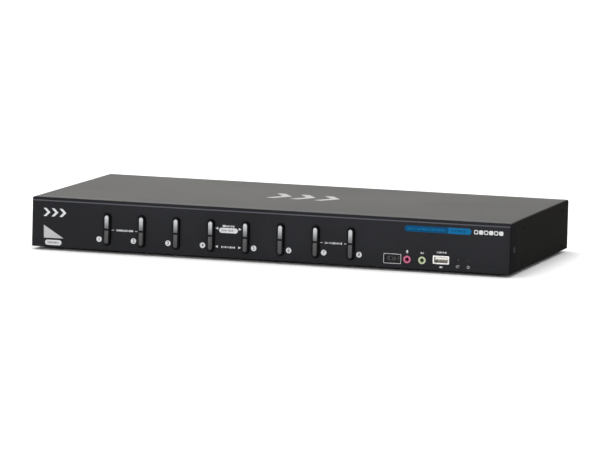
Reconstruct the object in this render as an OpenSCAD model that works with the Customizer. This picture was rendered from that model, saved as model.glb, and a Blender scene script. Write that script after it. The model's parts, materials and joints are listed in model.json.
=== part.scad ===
// Eight-port switch box for keyboards, screens and mice, one rack unit high.
// The case, boards, sockets, push buttons and power entry are separate pieces.
// Units are millimetres. +X is to the right as seen from the front, +Y to the
// back and +Z up. The origin is under the middle of the whole object.

/* [Case] */
// Width over the sides of the case
body_w = 437.2; // [430:0.2:530]
// Depth from the face of the bezel to the back of the cover
body_d = 217; // [200:1:270]
// Height of the case without its feet
body_h = 44; // [43.5:0.5:54]
// Thickness of the cover's steel sheet
cover_t = 1; // [0.8:0.1:1.2]
// Thickness of the tray's and the rear panel's steel sheet
tray_t = 1.2; // [1:0.1:1.5]
// Outer radius of the cover's long bends
bend_r = 1.8; // [1.5:0.1:2.5]
// Height of the cover's lip over the rear panel
lip_h = 5.4; // [5.2:0.1:6]
// Gap between neighbouring case pieces
seam = 0.2; // [0.1:0.05:0.3]
// Height of the rubber feet
foot_h = 3; // [2:0.5:6]
// Radius of the rubber feet
foot_r = 7; // [5:0.5:10]

/* [Bezel] */
// Depth of the bezel's top, bottom and side walls
bezel_d = 19; // [17:0.5:24]
// Thickness of the bezel's face
bezel_t = 2.5; // [2.2:0.1:2.8]
// Thickness of the bezel's side walls
bezel_wall = 2; // [1.6:0.1:2.4]
// Radius of the bezel's upright front corners
corner_r = 3; // [2.6:0.1:4]
// Height of the set-back band along the top of the face
band_h = 2.1; // [1.5:0.1:3]
// How far that band is set back
band_in = 1.4; // [1:0.1:1.6]

/* [Port buttons] */
// Number of port buttons, and of computer ports at the back
ports = 8; // [2:1:8]
// Distance between port buttons
port_pitch = 31.9; // [26:0.1:32]
// Middle of the first button, from the left side of the case
port_inset = 70.9; // [66:0.1:80]
// Height of the buttons' middle over the case's bottom
port_z = 18.6; // [17.9:0.1:21]
// Width of a button
button_w = 6.8; // [6:0.1:8.2]
// Height of a button
button_h = 28.4; // [26:0.1:29]
// How far a button stands out of the face
button_out = 3; // [2:0.1:4]
// How far a button travels
button_travel = 0.8; // [0.5:0.1:0.9]
// Clearance around a button in its slot
button_gap = 0.3; // [0.2:0.05:0.4]
// Width of the light windows in a button
lens_w = 3.6; // [3:0.1:4]

/* [Front sockets] */
// Middle of the microphone jack, from the right side of the case
mic_inset = 92.1; // [90:0.1:94]
// Middle of the speaker jack, from the right side of the case
speaker_inset = 78.7; // [77:0.1:80]
// Middle of the front USB socket, from the right side of the case
usb_inset = 61.8; // [60:0.1:63]
// Middle of the recovery switch, from the right side of the case
recovery_inset = 105.4; // [104:0.1:108]
// Middle of the reset button, from the right side of the case
reset_inset = 46.8; // [44:0.1:48]
// Middle of the power light, from the right side of the case
power_inset = 37.2; // [32:0.1:39]
// Radius of the bore of every audio jack
jack_bore_r = 1.8; // [1.78:0.01:1.85]
// Radius of the barrel of every audio jack
jack_r = 3.3; // [3:0.1:3.6]

/* [Rear sockets] */
// Distance between the video sockets
bay_pitch = 39.5; // [39.3:0.1:40]
// Middle of the first video socket, from the left side of the case
bay_inset = 23; // [22:0.1:24]
// Distance between the two jackscrews of a video socket
jackscrew_pitch = 33; // [32.5:0.1:33.5]
// How far the video sockets stand out of the rear panel
dvi_stand = 5.5; // [4:0.5:6.5]
// Middle of the power inlet, from the right side of the case
inlet_inset = 23.6; // [22:0.1:26]
// Middle of the power switch, from the right side of the case
rocker_inset = 50.6; // [48:0.1:52]
// Turn of the power switch from one side to the other, in degrees
rocker_turn = 16; // [10:1:18]

/* [Rack holes] */
// Distance along the case between the rack bracket holes
rack_pitch_y = 149; // [120:1:160]
// Upright distance between the rack bracket holes
rack_pitch_z = 32.1; // [30:0.1:33]
// Rack bracket holes nearest the front, from the face
rack_front = 44.2; // [36:0.1:50]
// Lower rack bracket holes, over the case's bottom
rack_low = 4.3; // [4.2:0.1:5]
// Radius of the tapped rack bracket holes in the cover and its nuts
rack_hole_r = 1.6; // [1.5:0.05:1.7]

/* [Hidden] */
$fn = 48;
e = 0.01;
cut = 1; // how far a cutting tool runs past the face it cuts
port_list = [for (i = [1:ports]) i];

// Places of the case's sheets, in the case's own frame: its face is at y = 0
// and its bottom at z = 0.
half_w = body_w / 2;
panel_back = body_d - cover_t - seam;
panel_y = panel_back - tray_t;
rear_out = panel_back + dvi_stand - body_d;
face_y = -(body_d + rear_out - button_out) / 2;
in_bezel_w = half_w - bezel_wall - seam;
in_cover_w = half_w - cover_t - seam;
in_bezel_z = bezel_wall + seam;
wall_y = bezel_t + 2.5; // front of the tray's front wall
wall_back = wall_y + tray_t;
tray_flange_h = 14;
ear_h = 25;
ear_back = bezel_d + 8;
bezel_screw_y = 14.3;
bezel_screw_z = 20;
face_top = body_h - band_h;

// Boards
board_t = 1.6;
spacer_h = 3.8;
spacer_r = 2.6;
board_z = tray_t + spacer_h;
board_top = board_z + board_t;
main_y0 = 52;
main_screw_in = 8; // the main board's front screws, from its front edge
main_x0 = -half_w + 6;
main_x1 = half_w - 58;
video_depth = 66;
dvi_z = 29.5;
dvi_drop = 7.5; // from a video socket's middle to its board's top
video_top = dvi_z - dvi_drop;
video_z = video_top - board_t;
front_board_y = wall_back + 4.8;
supply_x0 = half_w - 53;
supply_x1 = half_w - 6;
supply_y0 = 38;
supply_y1 = panel_y - 29;

// Port buttons
slot_w = button_w + 2 * button_gap;
slot_h = button_h + 2 * button_gap;
flange_lap = 0.9; // how far a button's flange reaches past its slot
flange_t = 1;
rest_gap = 0.2; // between a button's flange and the back of the face
flange_y = bezel_t + rest_gap;
cap_straight = 0.8; // how far a cap stands out before it narrows
crown_w = lens_w + 1.6;
crown_h = button_h - 2.2;
window_h = button_h - 3.4;
bridge_h = 1.7; // bar between the two light windows
lens_gap = 0.08;
stem_r = 1.3;
switch_h = 3.5;
plunger_h = 0.7;
stop_gap = 0.05;
plunger_y = front_board_y - switch_h - plunger_h;
stem_back = plunger_y - button_travel - stop_gap;

// Front sockets
jack_z = 7.9;
io_z = 9.1;
io_board_z = 3.8;
io_board_top = io_board_z + board_t;
io_x0 = half_w - 118;
io_x1 = half_w - 28;
io_depth = 28;
io_y0 = wall_back + 0.8;
jack_gap = 0.25;
jack_out = 0.3; // how far a front jack stands out of the face
jack_depth = 14;
usb_w = 13.1;
usb_h = 5.8;
usb_skin = 0.35;
usb_lip = 0.7;
usb_gap = 0.25;
usb_in_w = usb_w - 2 * usb_skin;
usb_in_h = usb_h - 2 * usb_skin;
tongue_w = 11.2;
tongue_t = 1.9;
tongue_up = 1.1; // a USB tongue's middle over its socket's
reset_r = 1.1;
reset_gap = 0.2;
reset_z = 9.6;
reset_in = 1.2; // reset button's end, behind the face
reset_len = 5;
reset_travel = 0.5;
power_z = 10;
power_r = 1.15;
power_in = 0.15; // power light's end, behind the face
recovery_z = 8;
recovery_w = 12.6;
recovery_h = 4.4;
recovery_travel = 3;
knob_w = 3.6;
knob_h = 3.4;
knob_rest = 1.5; // knob's middle from the switch's middle, at rest

// Rear sockets
usb_b_w = 12;
usb_b_h = 10.9;
usb_b_x = 9.2;
mic_x = -13.6;
speaker_x = -4.3;
rear_jack_z = board_top + 5;
rear_jack_out = 0.8;
stack_h = 15.6;
stack_rise = 3.9; // from the middle of the two USB sockets to either one
stack_inset = 69;
inlet_z = 22;
inlet_cavity = [24, 16.4, 17];
inlet_body = [27.2, 19.6, 22];
inlet_flange = [31, 24, 2.2];
inlet_bevel = 3.5;
inlet_pin = [2, 4]; // width and height of each blade
inlet_pin_spots = [[-7, -2], [7, -2], [0, 2]];
rocker_z = 22;
rocker_flange = [15.4, 21, 1.6];
rocker_body = [12.8, 18.8, 18];
rocker_cavity = [11.4, 17.6, 10];
trunnion_r = 1.2;
trunnion_gap = 0.06;
rocker_axis_y = panel_back - 2.4;
dvi_top_w = 25.6;
dvi_low_w = 23.2;
dvi_h = 9;
dvi_skin = 0.5;
dvi_gap = 0.4;
dvi_flange = [36.8, 13.2, 0.8];
standoff_r = 2.75;
standoff_len = 5;
standoff_bore_r = 1.2;
standoff_stem_r = 1.4;
lip_screw_z = body_h - lip_h / 2 - 0.3;

// Screws
screw_r = 1.2;
screw_hole_r = 1.35;
head_r = 2.3;
head_h = 1.5;
sink_r = 2.7;
sink_h = 1.4;
nut_r = 2.75;
nut_t = 2;

function port_x(i) = -half_w + port_inset + (i - 1) * port_pitch;
function bay_x(i) = -half_w + bay_inset + (i - 1) * bay_pitch;
console_x = bay_x(ports + 1);
bays = [for (i = [1:ports + 1]) bay_x(i)];
computer_bays = [for (i = port_list) bay_x(i)];
from_right = function (inset) half_w - inset;
lip_screw_x = [-half_w + 13, -half_w / 3, half_w / 3, half_w - 13];
low_screw_x = [-half_w + 20, -half_w / 3, half_w / 3, half_w - 20];
low_screw_y = panel_y - 5;

// ---- helpers ------------------------------------------------------------

// Moves children from the case's frame to the object's.
module in_case() translate([0, face_y, foot_h]) children();

// Stands a flat shape up in the XZ plane and gives it depth t towards +Y.
module upright(t) translate([0, t, 0]) rotate([90, 0, 0]) linear_extrude(t) children();

// Sweeps a shape drawn in the YZ plane along X, centred.
module along_x(w) translate([-w / 2, 0, 0]) rotate([90, 0, 90]) linear_extrude(w) children();

// A box centred in X and Z whose front is at y = 0.
module block(w, d, h) translate([-w / 2, 0, -h / 2]) cube([w, d, h]);

// A rod along +Y whose front is at y = 0.
module rod(r, d) rotate([-90, 0, 0]) cylinder(r = r, h = d);

// An upright slot shape with round ends.
module slot_shape(w, h) {
  for (s = [-1, 1]) translate([0, s * (h - w) / 2]) circle(w / 2);
  square([w, h - w], center = true);
}

// A rectangle with round corners.
module soft_rect(w, h, r) {
  for (sx = [-1, 1], sy = [-1, 1]) translate([sx * (w / 2 - r), sy * (h / 2 - r)]) circle(r);
  square([w - 2 * r, h], center = true);
  square([w, h - 2 * r], center = true);
}

// The case's section across X: square at the bottom, round along the top bends.
module case_section(half, low, high, r) {
  for (s = [-1, 1]) translate([s * (half - r), high - r]) circle(r);
  translate([-half, low]) square([2 * half, high - low - r]);
  translate([-half + r, low]) square([2 * (half - r), high - low]);
}

// The bezel's plan: round front corners, straight back.
module bezel_plan(half, front, back, r) {
  for (s = [-1, 1]) translate([s * (half - r), front + r]) circle(r);
  translate([-half, front + r]) square([2 * half, back - front - r]);
  translate([-half + r, front]) square([2 * (half - r), back - front]);
}

// A video socket's outline, wider at the top, grown by g.
module dvi_shape(g) {
  w1 = dvi_top_w / 2 + g;
  w2 = dvi_low_w / 2 + g;
  h = dvi_h / 2 + g;
  polygon([[-w1, h], [w1, h], [w1, h - 3], [w2, -h], [-w2, -h], [-w1, h - 3]]);
}

// The power inlet's mouth: a rectangle with its two upper corners cut.
module inlet_shape() {
  w = inlet_cavity[0] / 2;
  h = inlet_cavity[1] / 2;
  polygon([[-w, -h], [w, -h], [w, h - inlet_bevel], [w - inlet_bevel, h],
           [-w + inlet_bevel, h], [-w, h - inlet_bevel]]);
}

module at_ports() for (i = port_list) translate([port_x(i), 0, port_z]) children();
module at_rack_holes() for (y = [0, rack_pitch_y], z = [0, rack_pitch_z])
  translate([0, rack_front + y, rack_low + z]) children();
module at_jackscrews() for (x = bays, s = [-1, 1])
  translate([x + s * jackscrew_pitch / 2, 0, dvi_z]) children();
module at_rear_jacks() for (x = bays, dx = [mic_x, speaker_x])
  translate([x + dx, 0, rear_jack_z]) children();

// ---- case ---------------------------------------------------------------

// What is cut from the face above face_top, so that the band sits back.
module band_cut() along_x(body_w + 2 * cut) polygon([
  [-cut, face_top - 0.9], [0, face_top - 0.9], [0.9, face_top], [band_in, face_top],
  [band_in, body_h - 0.5], [band_in + 0.5, body_h], [band_in + 0.5, body_h + cut],
  [-cut, body_h + cut]]);

module front_bezel() color([0.1, 0.1, 0.11]) in_case() difference() {
  intersection() {
    linear_extrude(body_h) bezel_plan(half_w, 0, bezel_d, corner_r);
    upright(bezel_d) case_section(half_w, 0, body_h, bend_r);
  }
  translate([0, 0, bezel_wall]) linear_extrude(body_h - 2 * bezel_wall)
    bezel_plan(half_w - bezel_wall, bezel_t, bezel_d + cut, corner_r - bezel_wall + 0.5);
  band_cut();
  translate([0, -cut, 0]) {
    at_ports() upright(bezel_t + 2 * cut) slot_shape(slot_w, slot_h);
    for (x = [mic_inset, speaker_inset]) translate([from_right(x), 0, jack_z])
      rod(jack_r + jack_gap, bezel_t + 2 * cut);
    translate([from_right(usb_inset), 0, io_z]) upright(bezel_t + 2 * cut)
      soft_rect(usb_w + 2 * (usb_lip + usb_gap), usb_h + 2 * (usb_lip + usb_gap), 0.8);
    translate([from_right(recovery_inset), 0, recovery_z])
      block(recovery_w, bezel_t + 2 * cut, recovery_h);
    translate([from_right(reset_inset), 0, reset_z])
      rod(reset_r + reset_gap, bezel_t + 2 * cut);
    translate([from_right(power_inset), 0, power_z])
      rod(power_r + 0.05, bezel_t + 2 * cut);
  }
  for (s = [0, 1]) mirror([s, 0, 0]) translate([half_w, bezel_screw_y, bezel_screw_z])
    rotate([0, -90, 0]) {
      translate([0, 0, -e]) cylinder(r1 = sink_r + 0.1, r2 = screw_hole_r, h = sink_h + e);
      cylinder(r = screw_hole_r, h = bezel_wall + cut);
    }
}

// The tray: bottom, a step up into the bezel, front wall, side flanges and ears.
module chassis_tray() color([0.55, 0.56, 0.58]) in_case() difference() {
  union() {
    translate([-in_cover_w, bezel_d + seam, 0])
      cube([2 * in_cover_w, panel_y - bezel_d - 2 * seam, tray_t]);
    translate([-in_bezel_w, bezel_d + seam, 0])
      cube([2 * in_bezel_w, tray_t, in_bezel_z + tray_t]);
    translate([-in_bezel_w, wall_y, in_bezel_z])
      cube([2 * in_bezel_w, bezel_d + seam + tray_t - wall_y, tray_t]);
    translate([-in_bezel_w, wall_y, in_bezel_z])
      cube([2 * in_bezel_w, tray_t, body_h - 2 * in_bezel_z]);
    for (s = [0, 1]) mirror([s, 0, 0]) translate([in_bezel_w - tray_t, 0, 0]) {
      translate([0, bezel_d + seam, 0])
        cube([tray_t, panel_y - 12 - bezel_d - seam, tray_flange_h]);
      translate([0, wall_y, in_bezel_z]) cube([tray_t, ear_back - wall_y, ear_h - in_bezel_z]);
    }
  }
  at_ports() translate([0, wall_y - cut, 0]) upright(tray_t + 2 * cut)
    slot_shape(button_w, button_h - 2);
  translate([io_x0 - 1, wall_y - cut, in_bezel_z + tray_t])
    cube([io_x1 - io_x0 + 2, tray_t + 2 * cut, 11]);
  for (s = [0, 1]) mirror([s, 0, 0]) {
    translate([half_w, bezel_screw_y, bezel_screw_z]) rotate([0, -90, 0])
      cylinder(r = screw_hole_r, h = 10);
    for (y = [0, rack_pitch_y]) translate([half_w, rack_front + y, rack_low])
      rotate([0, -90, 0]) cylinder(r = nut_r + 0.3, h = 10);
  }
  for (x = low_screw_x) translate([x, low_screw_y, -cut])
    cylinder(r = screw_hole_r, h = tray_t + 2 * cut);
}

module rear_panel() color([0.2, 0.2, 0.21]) in_case() difference() {
  union() {
    translate([-in_cover_w, panel_y, tray_t + seam])
      cube([2 * in_cover_w, tray_t, body_h - cover_t - tray_t - 2 * seam]);
    translate([-in_cover_w, panel_y - 10, tray_t + seam])
      cube([2 * in_cover_w, 10 + e, tray_t]);
  }
  translate([0, panel_y - cut, 0]) {
    at_video() upright(tray_t + 2 * cut) dvi_shape(dvi_gap);
    at_jackscrews() rod(standoff_stem_r + 0.2, tray_t + 2 * cut);
    at_rear_jacks() rod(jack_r + jack_gap, tray_t + 2 * cut);
    for (x = computer_bays) translate([x + usb_b_x, 0, board_top + usb_b_h / 2])
      block(usb_b_w + 0.6, tray_t + 2 * cut, usb_b_h + 0.6);
    translate([from_right(stack_inset), 0, board_top + stack_h / 2])
      block(usb_w + 0.6, tray_t + 2 * cut, stack_h + 0.6);
    translate([from_right(inlet_inset), 0, inlet_z])
      block(inlet_body[0] + 0.4, tray_t + 2 * cut, inlet_body[1] + 0.4);
    translate([from_right(rocker_inset), 0, rocker_z])
      block(rocker_body[0] + 0.4, tray_t + 2 * cut, rocker_body[1] + 0.4);
    for (x = lip_screw_x) translate([x, 0, lip_screw_z]) rod(screw_hole_r, tray_t + 2 * cut);
  }
  for (x = low_screw_x) translate([x, low_screw_y, 0]) cylinder(r = screw_hole_r, h = 10);
}

// The cover: top, two sides and a lip down over the rear panel.
module top_cover() color([0.12, 0.12, 0.12]) in_case() difference() {
  translate([0, bezel_d + seam, 0]) upright(body_d - bezel_d - seam)
    case_section(half_w, 0, body_h, bend_r);
  translate([0, bezel_d + seam - cut, 0]) upright(body_d - cover_t - bezel_d - seam + cut)
    case_section(half_w - cover_t, -cut, body_h - cover_t, bend_r - cover_t);
  translate([0, body_d - cover_t - cut, (body_h - lip_h - cut) / 2])
    block(2 * (half_w - cover_t), cover_t + 2 * cut, body_h - lip_h + cut);
  for (s = [0, 1]) mirror([s, 0, 0]) at_rack_holes() translate([half_w + cut, 0, 0])
    rotate([0, -90, 0]) cylinder(r = rack_hole_r, h = cover_t + 2 * cut);
  for (x = lip_screw_x) translate([x, body_d - cover_t - cut, lip_screw_z])
    rod(screw_hole_r, cover_t + 2 * cut);
}

// Four round stick-on feet with a soft lower edge.
module rubber_feet() color([0.08, 0.08, 0.08])
  for (sx = [-1, 1], y = [bezel_d + 26, body_d - 30])
    translate([sx * (half_w - 34), face_y + y, 0]) rotate_extrude()
      polygon([[0, 0], [foot_r - 0.8, 0], [foot_r, 0.8], [foot_r, foot_h], [0, foot_h]]);

// ---- fasteners ----------------------------------------------------------

// A sunk cross-head screw along +Z from its flat head at z = 0.
module sunk_screw(len) difference() {
  union() {
    cylinder(r1 = sink_r, r2 = screw_r, h = sink_h);
    cylinder(r = screw_r, h = len);
  }
  for (a = [0, 90]) rotate(a) translate([-1.3, -0.25, -e]) cube([2.6, 0.5, 0.8]);
}

// A raised cross-head screw along +Z from the underside of its head at z = 0.
module pan_screw(len) difference() {
  union() {
    translate([0, 0, -head_h]) cylinder(r1 = head_r - 0.5, r2 = head_r, h = 0.5);
    translate([0, 0, 0.5 - head_h]) cylinder(r = head_r, h = head_h - 0.5);
    cylinder(r = screw_r, h = len);
  }
  for (a = [0, 90]) rotate(a) translate([-1.2, -0.25, -head_h - e]) cube([2.4, 0.5, 0.8]);
}

module bezel_screws() color([0.15, 0.15, 0.15]) in_case() for (s = [0, 1]) mirror([s, 0, 0])
  translate([half_w - 0.05, bezel_screw_y, bezel_screw_z]) rotate([0, -90, 0]) sunk_screw(6);

module case_screws() color([0.15, 0.15, 0.15]) in_case() {
  for (x = lip_screw_x) translate([x, body_d, lip_screw_z]) rotate([90, 0, 0]) pan_screw(6);
  for (x = low_screw_x) translate([x, low_screw_y, 0]) pan_screw(4);
}

// Clinch nuts behind the rack bracket holes.
module rack_nuts() color([0.75, 0.75, 0.77]) in_case() for (s = [0, 1]) mirror([s, 0, 0])
  at_rack_holes() translate([half_w - cover_t, 0, 0]) rotate([0, -90, 0]) difference() {
    cylinder(r = nut_r, h = nut_t);
    translate([0, 0, -cut]) cylinder(r = rack_hole_r, h = nut_t + 2 * cut);
  }

// ---- boards -------------------------------------------------------------

// Where each board's screws are, seen from above, or from the front for the front board.
main_spots = [for (x = [main_x0 + 8, (main_x0 + main_x1) / 2, main_x1 - 8])
  for (y = [main_y0 + main_screw_in, panel_y - 40]) [x, y]];
video_spots = [for (x = [main_x0 + 20, bays[3] + bay_pitch / 2, console_x - 2])
  [x, panel_y - video_depth + 8]];
supply_spots = [for (x = [supply_x0 + 5, supply_x1 - 5], y = [supply_y0 + 5, supply_y1 - 5])
  [x, y]];
front_spots = [for (x = [port_x(1) - 11, (port_x(4) + port_x(5)) / 2, port_x(ports) + 11])
  [x, port_z + 14]];
io_spots = [for (x = [io_x0 + 5, io_x1 - 5]) [x, 30]];

module board_hole(p) translate([p[0], p[1], -cut]) cylinder(r = screw_hole_r, h = 60);

module main_board() color([0.05, 0.3, 0.15]) in_case() difference() {
  translate([main_x0, main_y0, board_z])
    cube([main_x1 - main_x0, panel_y - seam - main_y0, board_t]);
  for (p = concat(main_spots, video_spots)) board_hole(p);
}

module video_board() color([0.05, 0.3, 0.15]) in_case() difference() {
  translate([main_x0, panel_y - video_depth, video_z])
    cube([console_x + bay_pitch / 2 - main_x0, video_depth - seam, board_t]);
  for (p = video_spots) board_hole(p);
}

module supply_board() color([0.35, 0.28, 0.1]) in_case() difference() {
  translate([supply_x0, supply_y0, board_z])
    cube([supply_x1 - supply_x0, supply_y1 - supply_y0, board_t]);
  for (p = supply_spots) board_hole(p);
}

module front_board() color([0.05, 0.3, 0.15]) in_case() difference() {
  translate([port_x(1) - 15, front_board_y, 6])
    cube([(ports - 1) * port_pitch + 30, board_t, body_h - 12]);
  for (p = front_spots) translate([p[0], front_board_y - cut, p[1]])
    rod(screw_hole_r, board_t + 2 * cut);
}

module front_io_board() color([0.05, 0.3, 0.15]) in_case() difference() {
  translate([io_x0, io_y0, io_board_z]) cube([io_x1 - io_x0, io_depth, board_t]);
  for (p = io_spots) board_hole(p);
}

module spacer(h) difference() {
  cylinder(r = spacer_r, h = h);
  translate([0, 0, -cut]) cylinder(r = screw_hole_r, h = h + 2 * cut);
}

module board_spacers() color([0.75, 0.75, 0.77]) in_case() {
  for (p = concat(main_spots, supply_spots, video_spots)) translate([p[0], p[1], tray_t])
    spacer(spacer_h);
  for (p = video_spots) translate([p[0], p[1], board_top]) spacer(video_z - board_top);
  for (p = io_spots) translate([p[0], p[1], tray_t]) spacer(io_board_z - tray_t);
  for (p = front_spots) translate([p[0], front_board_y, p[1]]) rotate([90, 0, 0])
    spacer(front_board_y - wall_back);
}

module board_screws() color([0.75, 0.75, 0.77]) in_case() {
  for (p = concat(main_spots, supply_spots)) translate([p[0], p[1], board_top])
    rotate([180, 0, 0]) pan_screw(4.5);
  for (p = video_spots) translate([p[0], p[1], video_top]) rotate([180, 0, 0]) pan_screw(6);
  for (p = io_spots) translate([p[0], p[1], io_board_top]) rotate([180, 0, 0]) pan_screw(3.5);
  for (p = front_spots) translate([p[0], front_board_y + board_t, p[1]])
    rotate([90, 0, 0]) pan_screw(5.5);
}

// Switching chips in a row, and two large processors under their heat sinks.
chip_w = 14;
core_w = 22;
core_t = 2;
chip_x = [for (i = [1:4]) main_x0 + i * (main_x1 - main_x0) / 5];
module at_cores() for (x = [chip_x[0], chip_x[2]])
  translate([x + 30 - core_w / 2, main_y0 + 55, board_top]) children();
module switch_chips() color([0.06, 0.06, 0.07]) in_case() {
  for (x = chip_x) translate([x - chip_w / 2, main_y0 + 30, board_top])
    cube([chip_w, chip_w, 1.4]);
  at_cores() cube([core_w, core_w, core_t]);
}

// Six upright fins on a plate.
module chip_heatsinks() color([0.6, 0.6, 0.62]) in_case() at_cores() translate([0, 0, core_t]) {
  cube([core_w, core_w, 1.5]);
  for (i = [0:5]) translate([i * 4.1, 0, 1.5 - e]) cube([1.5, core_w, 7]);
}

// Flat cables from the front board back and down to the main board.
module ribbon_cable() color([0.6, 0.6, 0.62]) in_case() for (x = [port_x(3), port_x(6)])
  translate([x, 0, 0]) {
    y0 = front_board_y + board_t;
    y1 = main_y0 + main_screw_in - head_r - 0.5; // in front of the board's screws
    z1 = 12;
    t = 0.9;
    along_x(26) polygon([[y0, z1], [y1, z1], [y1, board_top], [y1 - t, board_top],
                         [y1 - t, z1 - t], [y0, z1 - t]]);
  }

// ---- power supply -------------------------------------------------------

supply_mid = [(supply_x0 + supply_x1) / 2, (supply_y0 + supply_y1) / 2];

module supply_transformer() color([0.75, 0.65, 0.2]) in_case()
  translate([supply_mid[0] - 4, supply_mid[1], board_top]) {
    translate([-14, -13, 0]) cube([28, 26, 6]);
    translate([-10, -10, 6 - e]) cube([20, 20, 14]);
    translate([-14, -13, 20 - 2 * e]) cube([28, 26, 6]);
  }

module supply_capacitors() color([0.1, 0.12, 0.3]) in_case() {
  for (p = [[-8, 42, 8, 24], [10, 44, 6, 20], [-10, -34, 5, 16], [2, -34, 5, 16]])
    translate([supply_mid[0] + p[0], supply_mid[1] + p[1], board_top]) difference() {
      cylinder(r = p[2], h = p[3]);
      translate([0, 0, p[3] - 0.3]) for (a = [0, 90]) rotate(a)
        translate([-p[2] * 0.7, -0.3, 0]) cube([p[2] * 1.4, 0.6, cut]);
    }
}

module supply_heatsink() color([0.6, 0.6, 0.62]) in_case()
  translate([supply_x1 - 6, supply_mid[1] - 30, board_top]) {
    cube([2, 60, 24]);
    for (i = [0:4]) translate([-3 + e, 4 + i * 12, 2]) cube([3, 2, 22]);
  }

// ---- power entry --------------------------------------------------------

module at_inlet() translate([from_right(inlet_inset), panel_back, inlet_z]) children();
module at_rocker() translate([from_right(rocker_inset), panel_back, rocker_z]) children();

module power_inlet() color([0.05, 0.05, 0.05]) in_case() at_inlet()
  difference() {
    union() {
      upright(inlet_flange[2]) soft_rect(inlet_flange[0], inlet_flange[1], 2);
      translate([0, -inlet_body[2], 0]) block(inlet_body[0], inlet_body[2] + e, inlet_body[1]);
    }
    translate([0, inlet_flange[2] - inlet_cavity[2], 0])
      upright(inlet_cavity[2] + cut) inlet_shape();
    for (p = inlet_pin_spots) translate([p[0], -inlet_body[2] - cut, p[1]])
      block(inlet_pin[0] + 0.1, inlet_body[2], inlet_pin[1] + 0.1);
  }

module inlet_pins() color([0.8, 0.8, 0.82]) in_case() at_inlet()
  for (p = inlet_pin_spots) translate([p[0], -inlet_body[2] - 6, p[1]])
    block(inlet_pin[0], inlet_body[2] + 4, inlet_pin[1]);

module rocker_housing() color([0.05, 0.05, 0.05]) in_case() at_rocker()
  difference() {
    union() {
      upright(rocker_flange[2]) soft_rect(rocker_flange[0], rocker_flange[1], 1.2);
      translate([0, -rocker_body[2], 0]) block(rocker_body[0], rocker_body[2] + e, rocker_body[1]);
    }
    translate([0, rocker_flange[2] - rocker_cavity[2], 0])
      block(rocker_cavity[0], rocker_cavity[2] + cut, rocker_cavity[1]);
    translate([-(rocker_body[0] + cut) / 2, rocker_axis_y - panel_back, 0]) rotate([0, 90, 0])
      cylinder(r = trunnion_r + trunnion_gap, h = rocker_body[0] + cut);
  }

// The rocker, tipped to one side, with a round trunnion at each end of its axis.
module power_rocker() color([0.07, 0.07, 0.07]) in_case()
  translate([from_right(rocker_inset), rocker_axis_y, rocker_z]) rotate([-rocker_turn / 2, 0, 0]) {
    r = rocker_cavity[1] / 2 - 0.3;
    w = rocker_cavity[0] - 0.5;
    along_x(w) polygon([[-3, -5], [-3, 5], [-1, r - 0.6], [5.4, r - 2.4], [3.6, 0],
                        [5.4, -r + 2.4], [-1, -r + 0.6]]);
    translate([-rocker_body[0] / 2 + 0.1, 0, 0]) rotate([0, 90, 0])
      cylinder(r = trunnion_r, h = rocker_body[0] - 0.2);
  }

// ---- rear sockets -------------------------------------------------------

module at_video() for (x = bays) translate([x, 0, dvi_z]) children();

module dvi_shells() color([0.75, 0.75, 0.77]) in_case() at_video() difference() {
  union() {
    translate([0, panel_y - dvi_flange[2], 0]) block(dvi_flange[0], dvi_flange[2], dvi_flange[1]);
    translate([0, panel_y - e, 0]) upright(panel_back + dvi_stand - panel_y + e) dvi_shape(0);
  }
  translate([0, panel_y - dvi_flange[2] - cut, 0]) upright(20) dvi_shape(-dvi_skin);
  for (s = [-1, 1]) translate([s * jackscrew_pitch / 2, panel_y - dvi_flange[2] - cut, 0])
    rod(standoff_stem_r + 0.1, dvi_flange[2] + 2 * cut);
}

module dvi_inserts() color([0.9, 0.9, 0.88]) in_case() at_video() {
  translate([0, panel_y - dvi_flange[2] - 16, -dvi_drop])
    translate([-14, 0, 0]) cube([28, 16, dvi_drop + 6.2]);
  translate([0, panel_y - dvi_flange[2] - e, 0])
    upright(panel_back + dvi_stand - panel_y + dvi_flange[2] - 0.3) dvi_shape(-dvi_skin - 0.05);
}

module dvi_jackscrews() color([0.78, 0.78, 0.8]) in_case() at_jackscrews() difference() {
  union() {
    translate([0, panel_back, 0]) rotate([-90, 0, 0])
      cylinder(r = standoff_r, h = standoff_len, $fn = 6);
    translate([0, panel_y - dvi_flange[2] - 4, 0])
      rod(standoff_stem_r, tray_t + dvi_flange[2] + 4 + e);
  }
  translate([0, panel_back - 1, 0]) rod(standoff_bore_r, standoff_len + 1 + cut);
}

module usb_b_shells() color([0.78, 0.78, 0.8]) in_case() for (x = computer_bays)
  translate([x + usb_b_x, panel_back - 16, board_top + usb_b_h / 2]) difference() {
    block(usb_b_w, 16.8, usb_b_h);
    translate([0, 0.4, 0]) block(usb_b_w - 0.8, 20, usb_b_h - 0.8);
  }

module usb_b_cores() color([0.9, 0.9, 0.88]) in_case() for (x = computer_bays)
  translate([x + usb_b_x, panel_back - 15.6, board_top + usb_b_h / 2]) {
    difference() {
      block(usb_b_w - 0.9, 16, usb_b_h - 0.9);
      translate([0, 4, 0]) upright(20)
        polygon([[-4.25, -3.9], [4.25, -3.9], [4.25, 2.2], [2.6, 3.9], [-2.6, 3.9], [-4.25, 2.2]]);
    }
    translate([0, 4 - e, 0]) block(5.6, 11, 3.2);
  }

// An audio jack whose barrel points to -Y. Its housing starts at y = 0 and
// its mouth is at y = -reach. The bore's axis is the Y axis.
module jack(reach, low, high, depth) difference() {
  union() {
    translate([0, -reach, 0]) rod(jack_r, reach + e);
    translate([-4.3, 0, low]) cube([8.6, 12.5, high - low]);
  }
  translate([0, -reach - cut, 0]) rod(jack_bore_r, depth + cut);
}

module rear_jack() translate([0, panel_y, rear_jack_z]) mirror([0, 1, 0])
  jack(tray_t + rear_jack_out, -5, 4.2, jack_depth);

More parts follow.
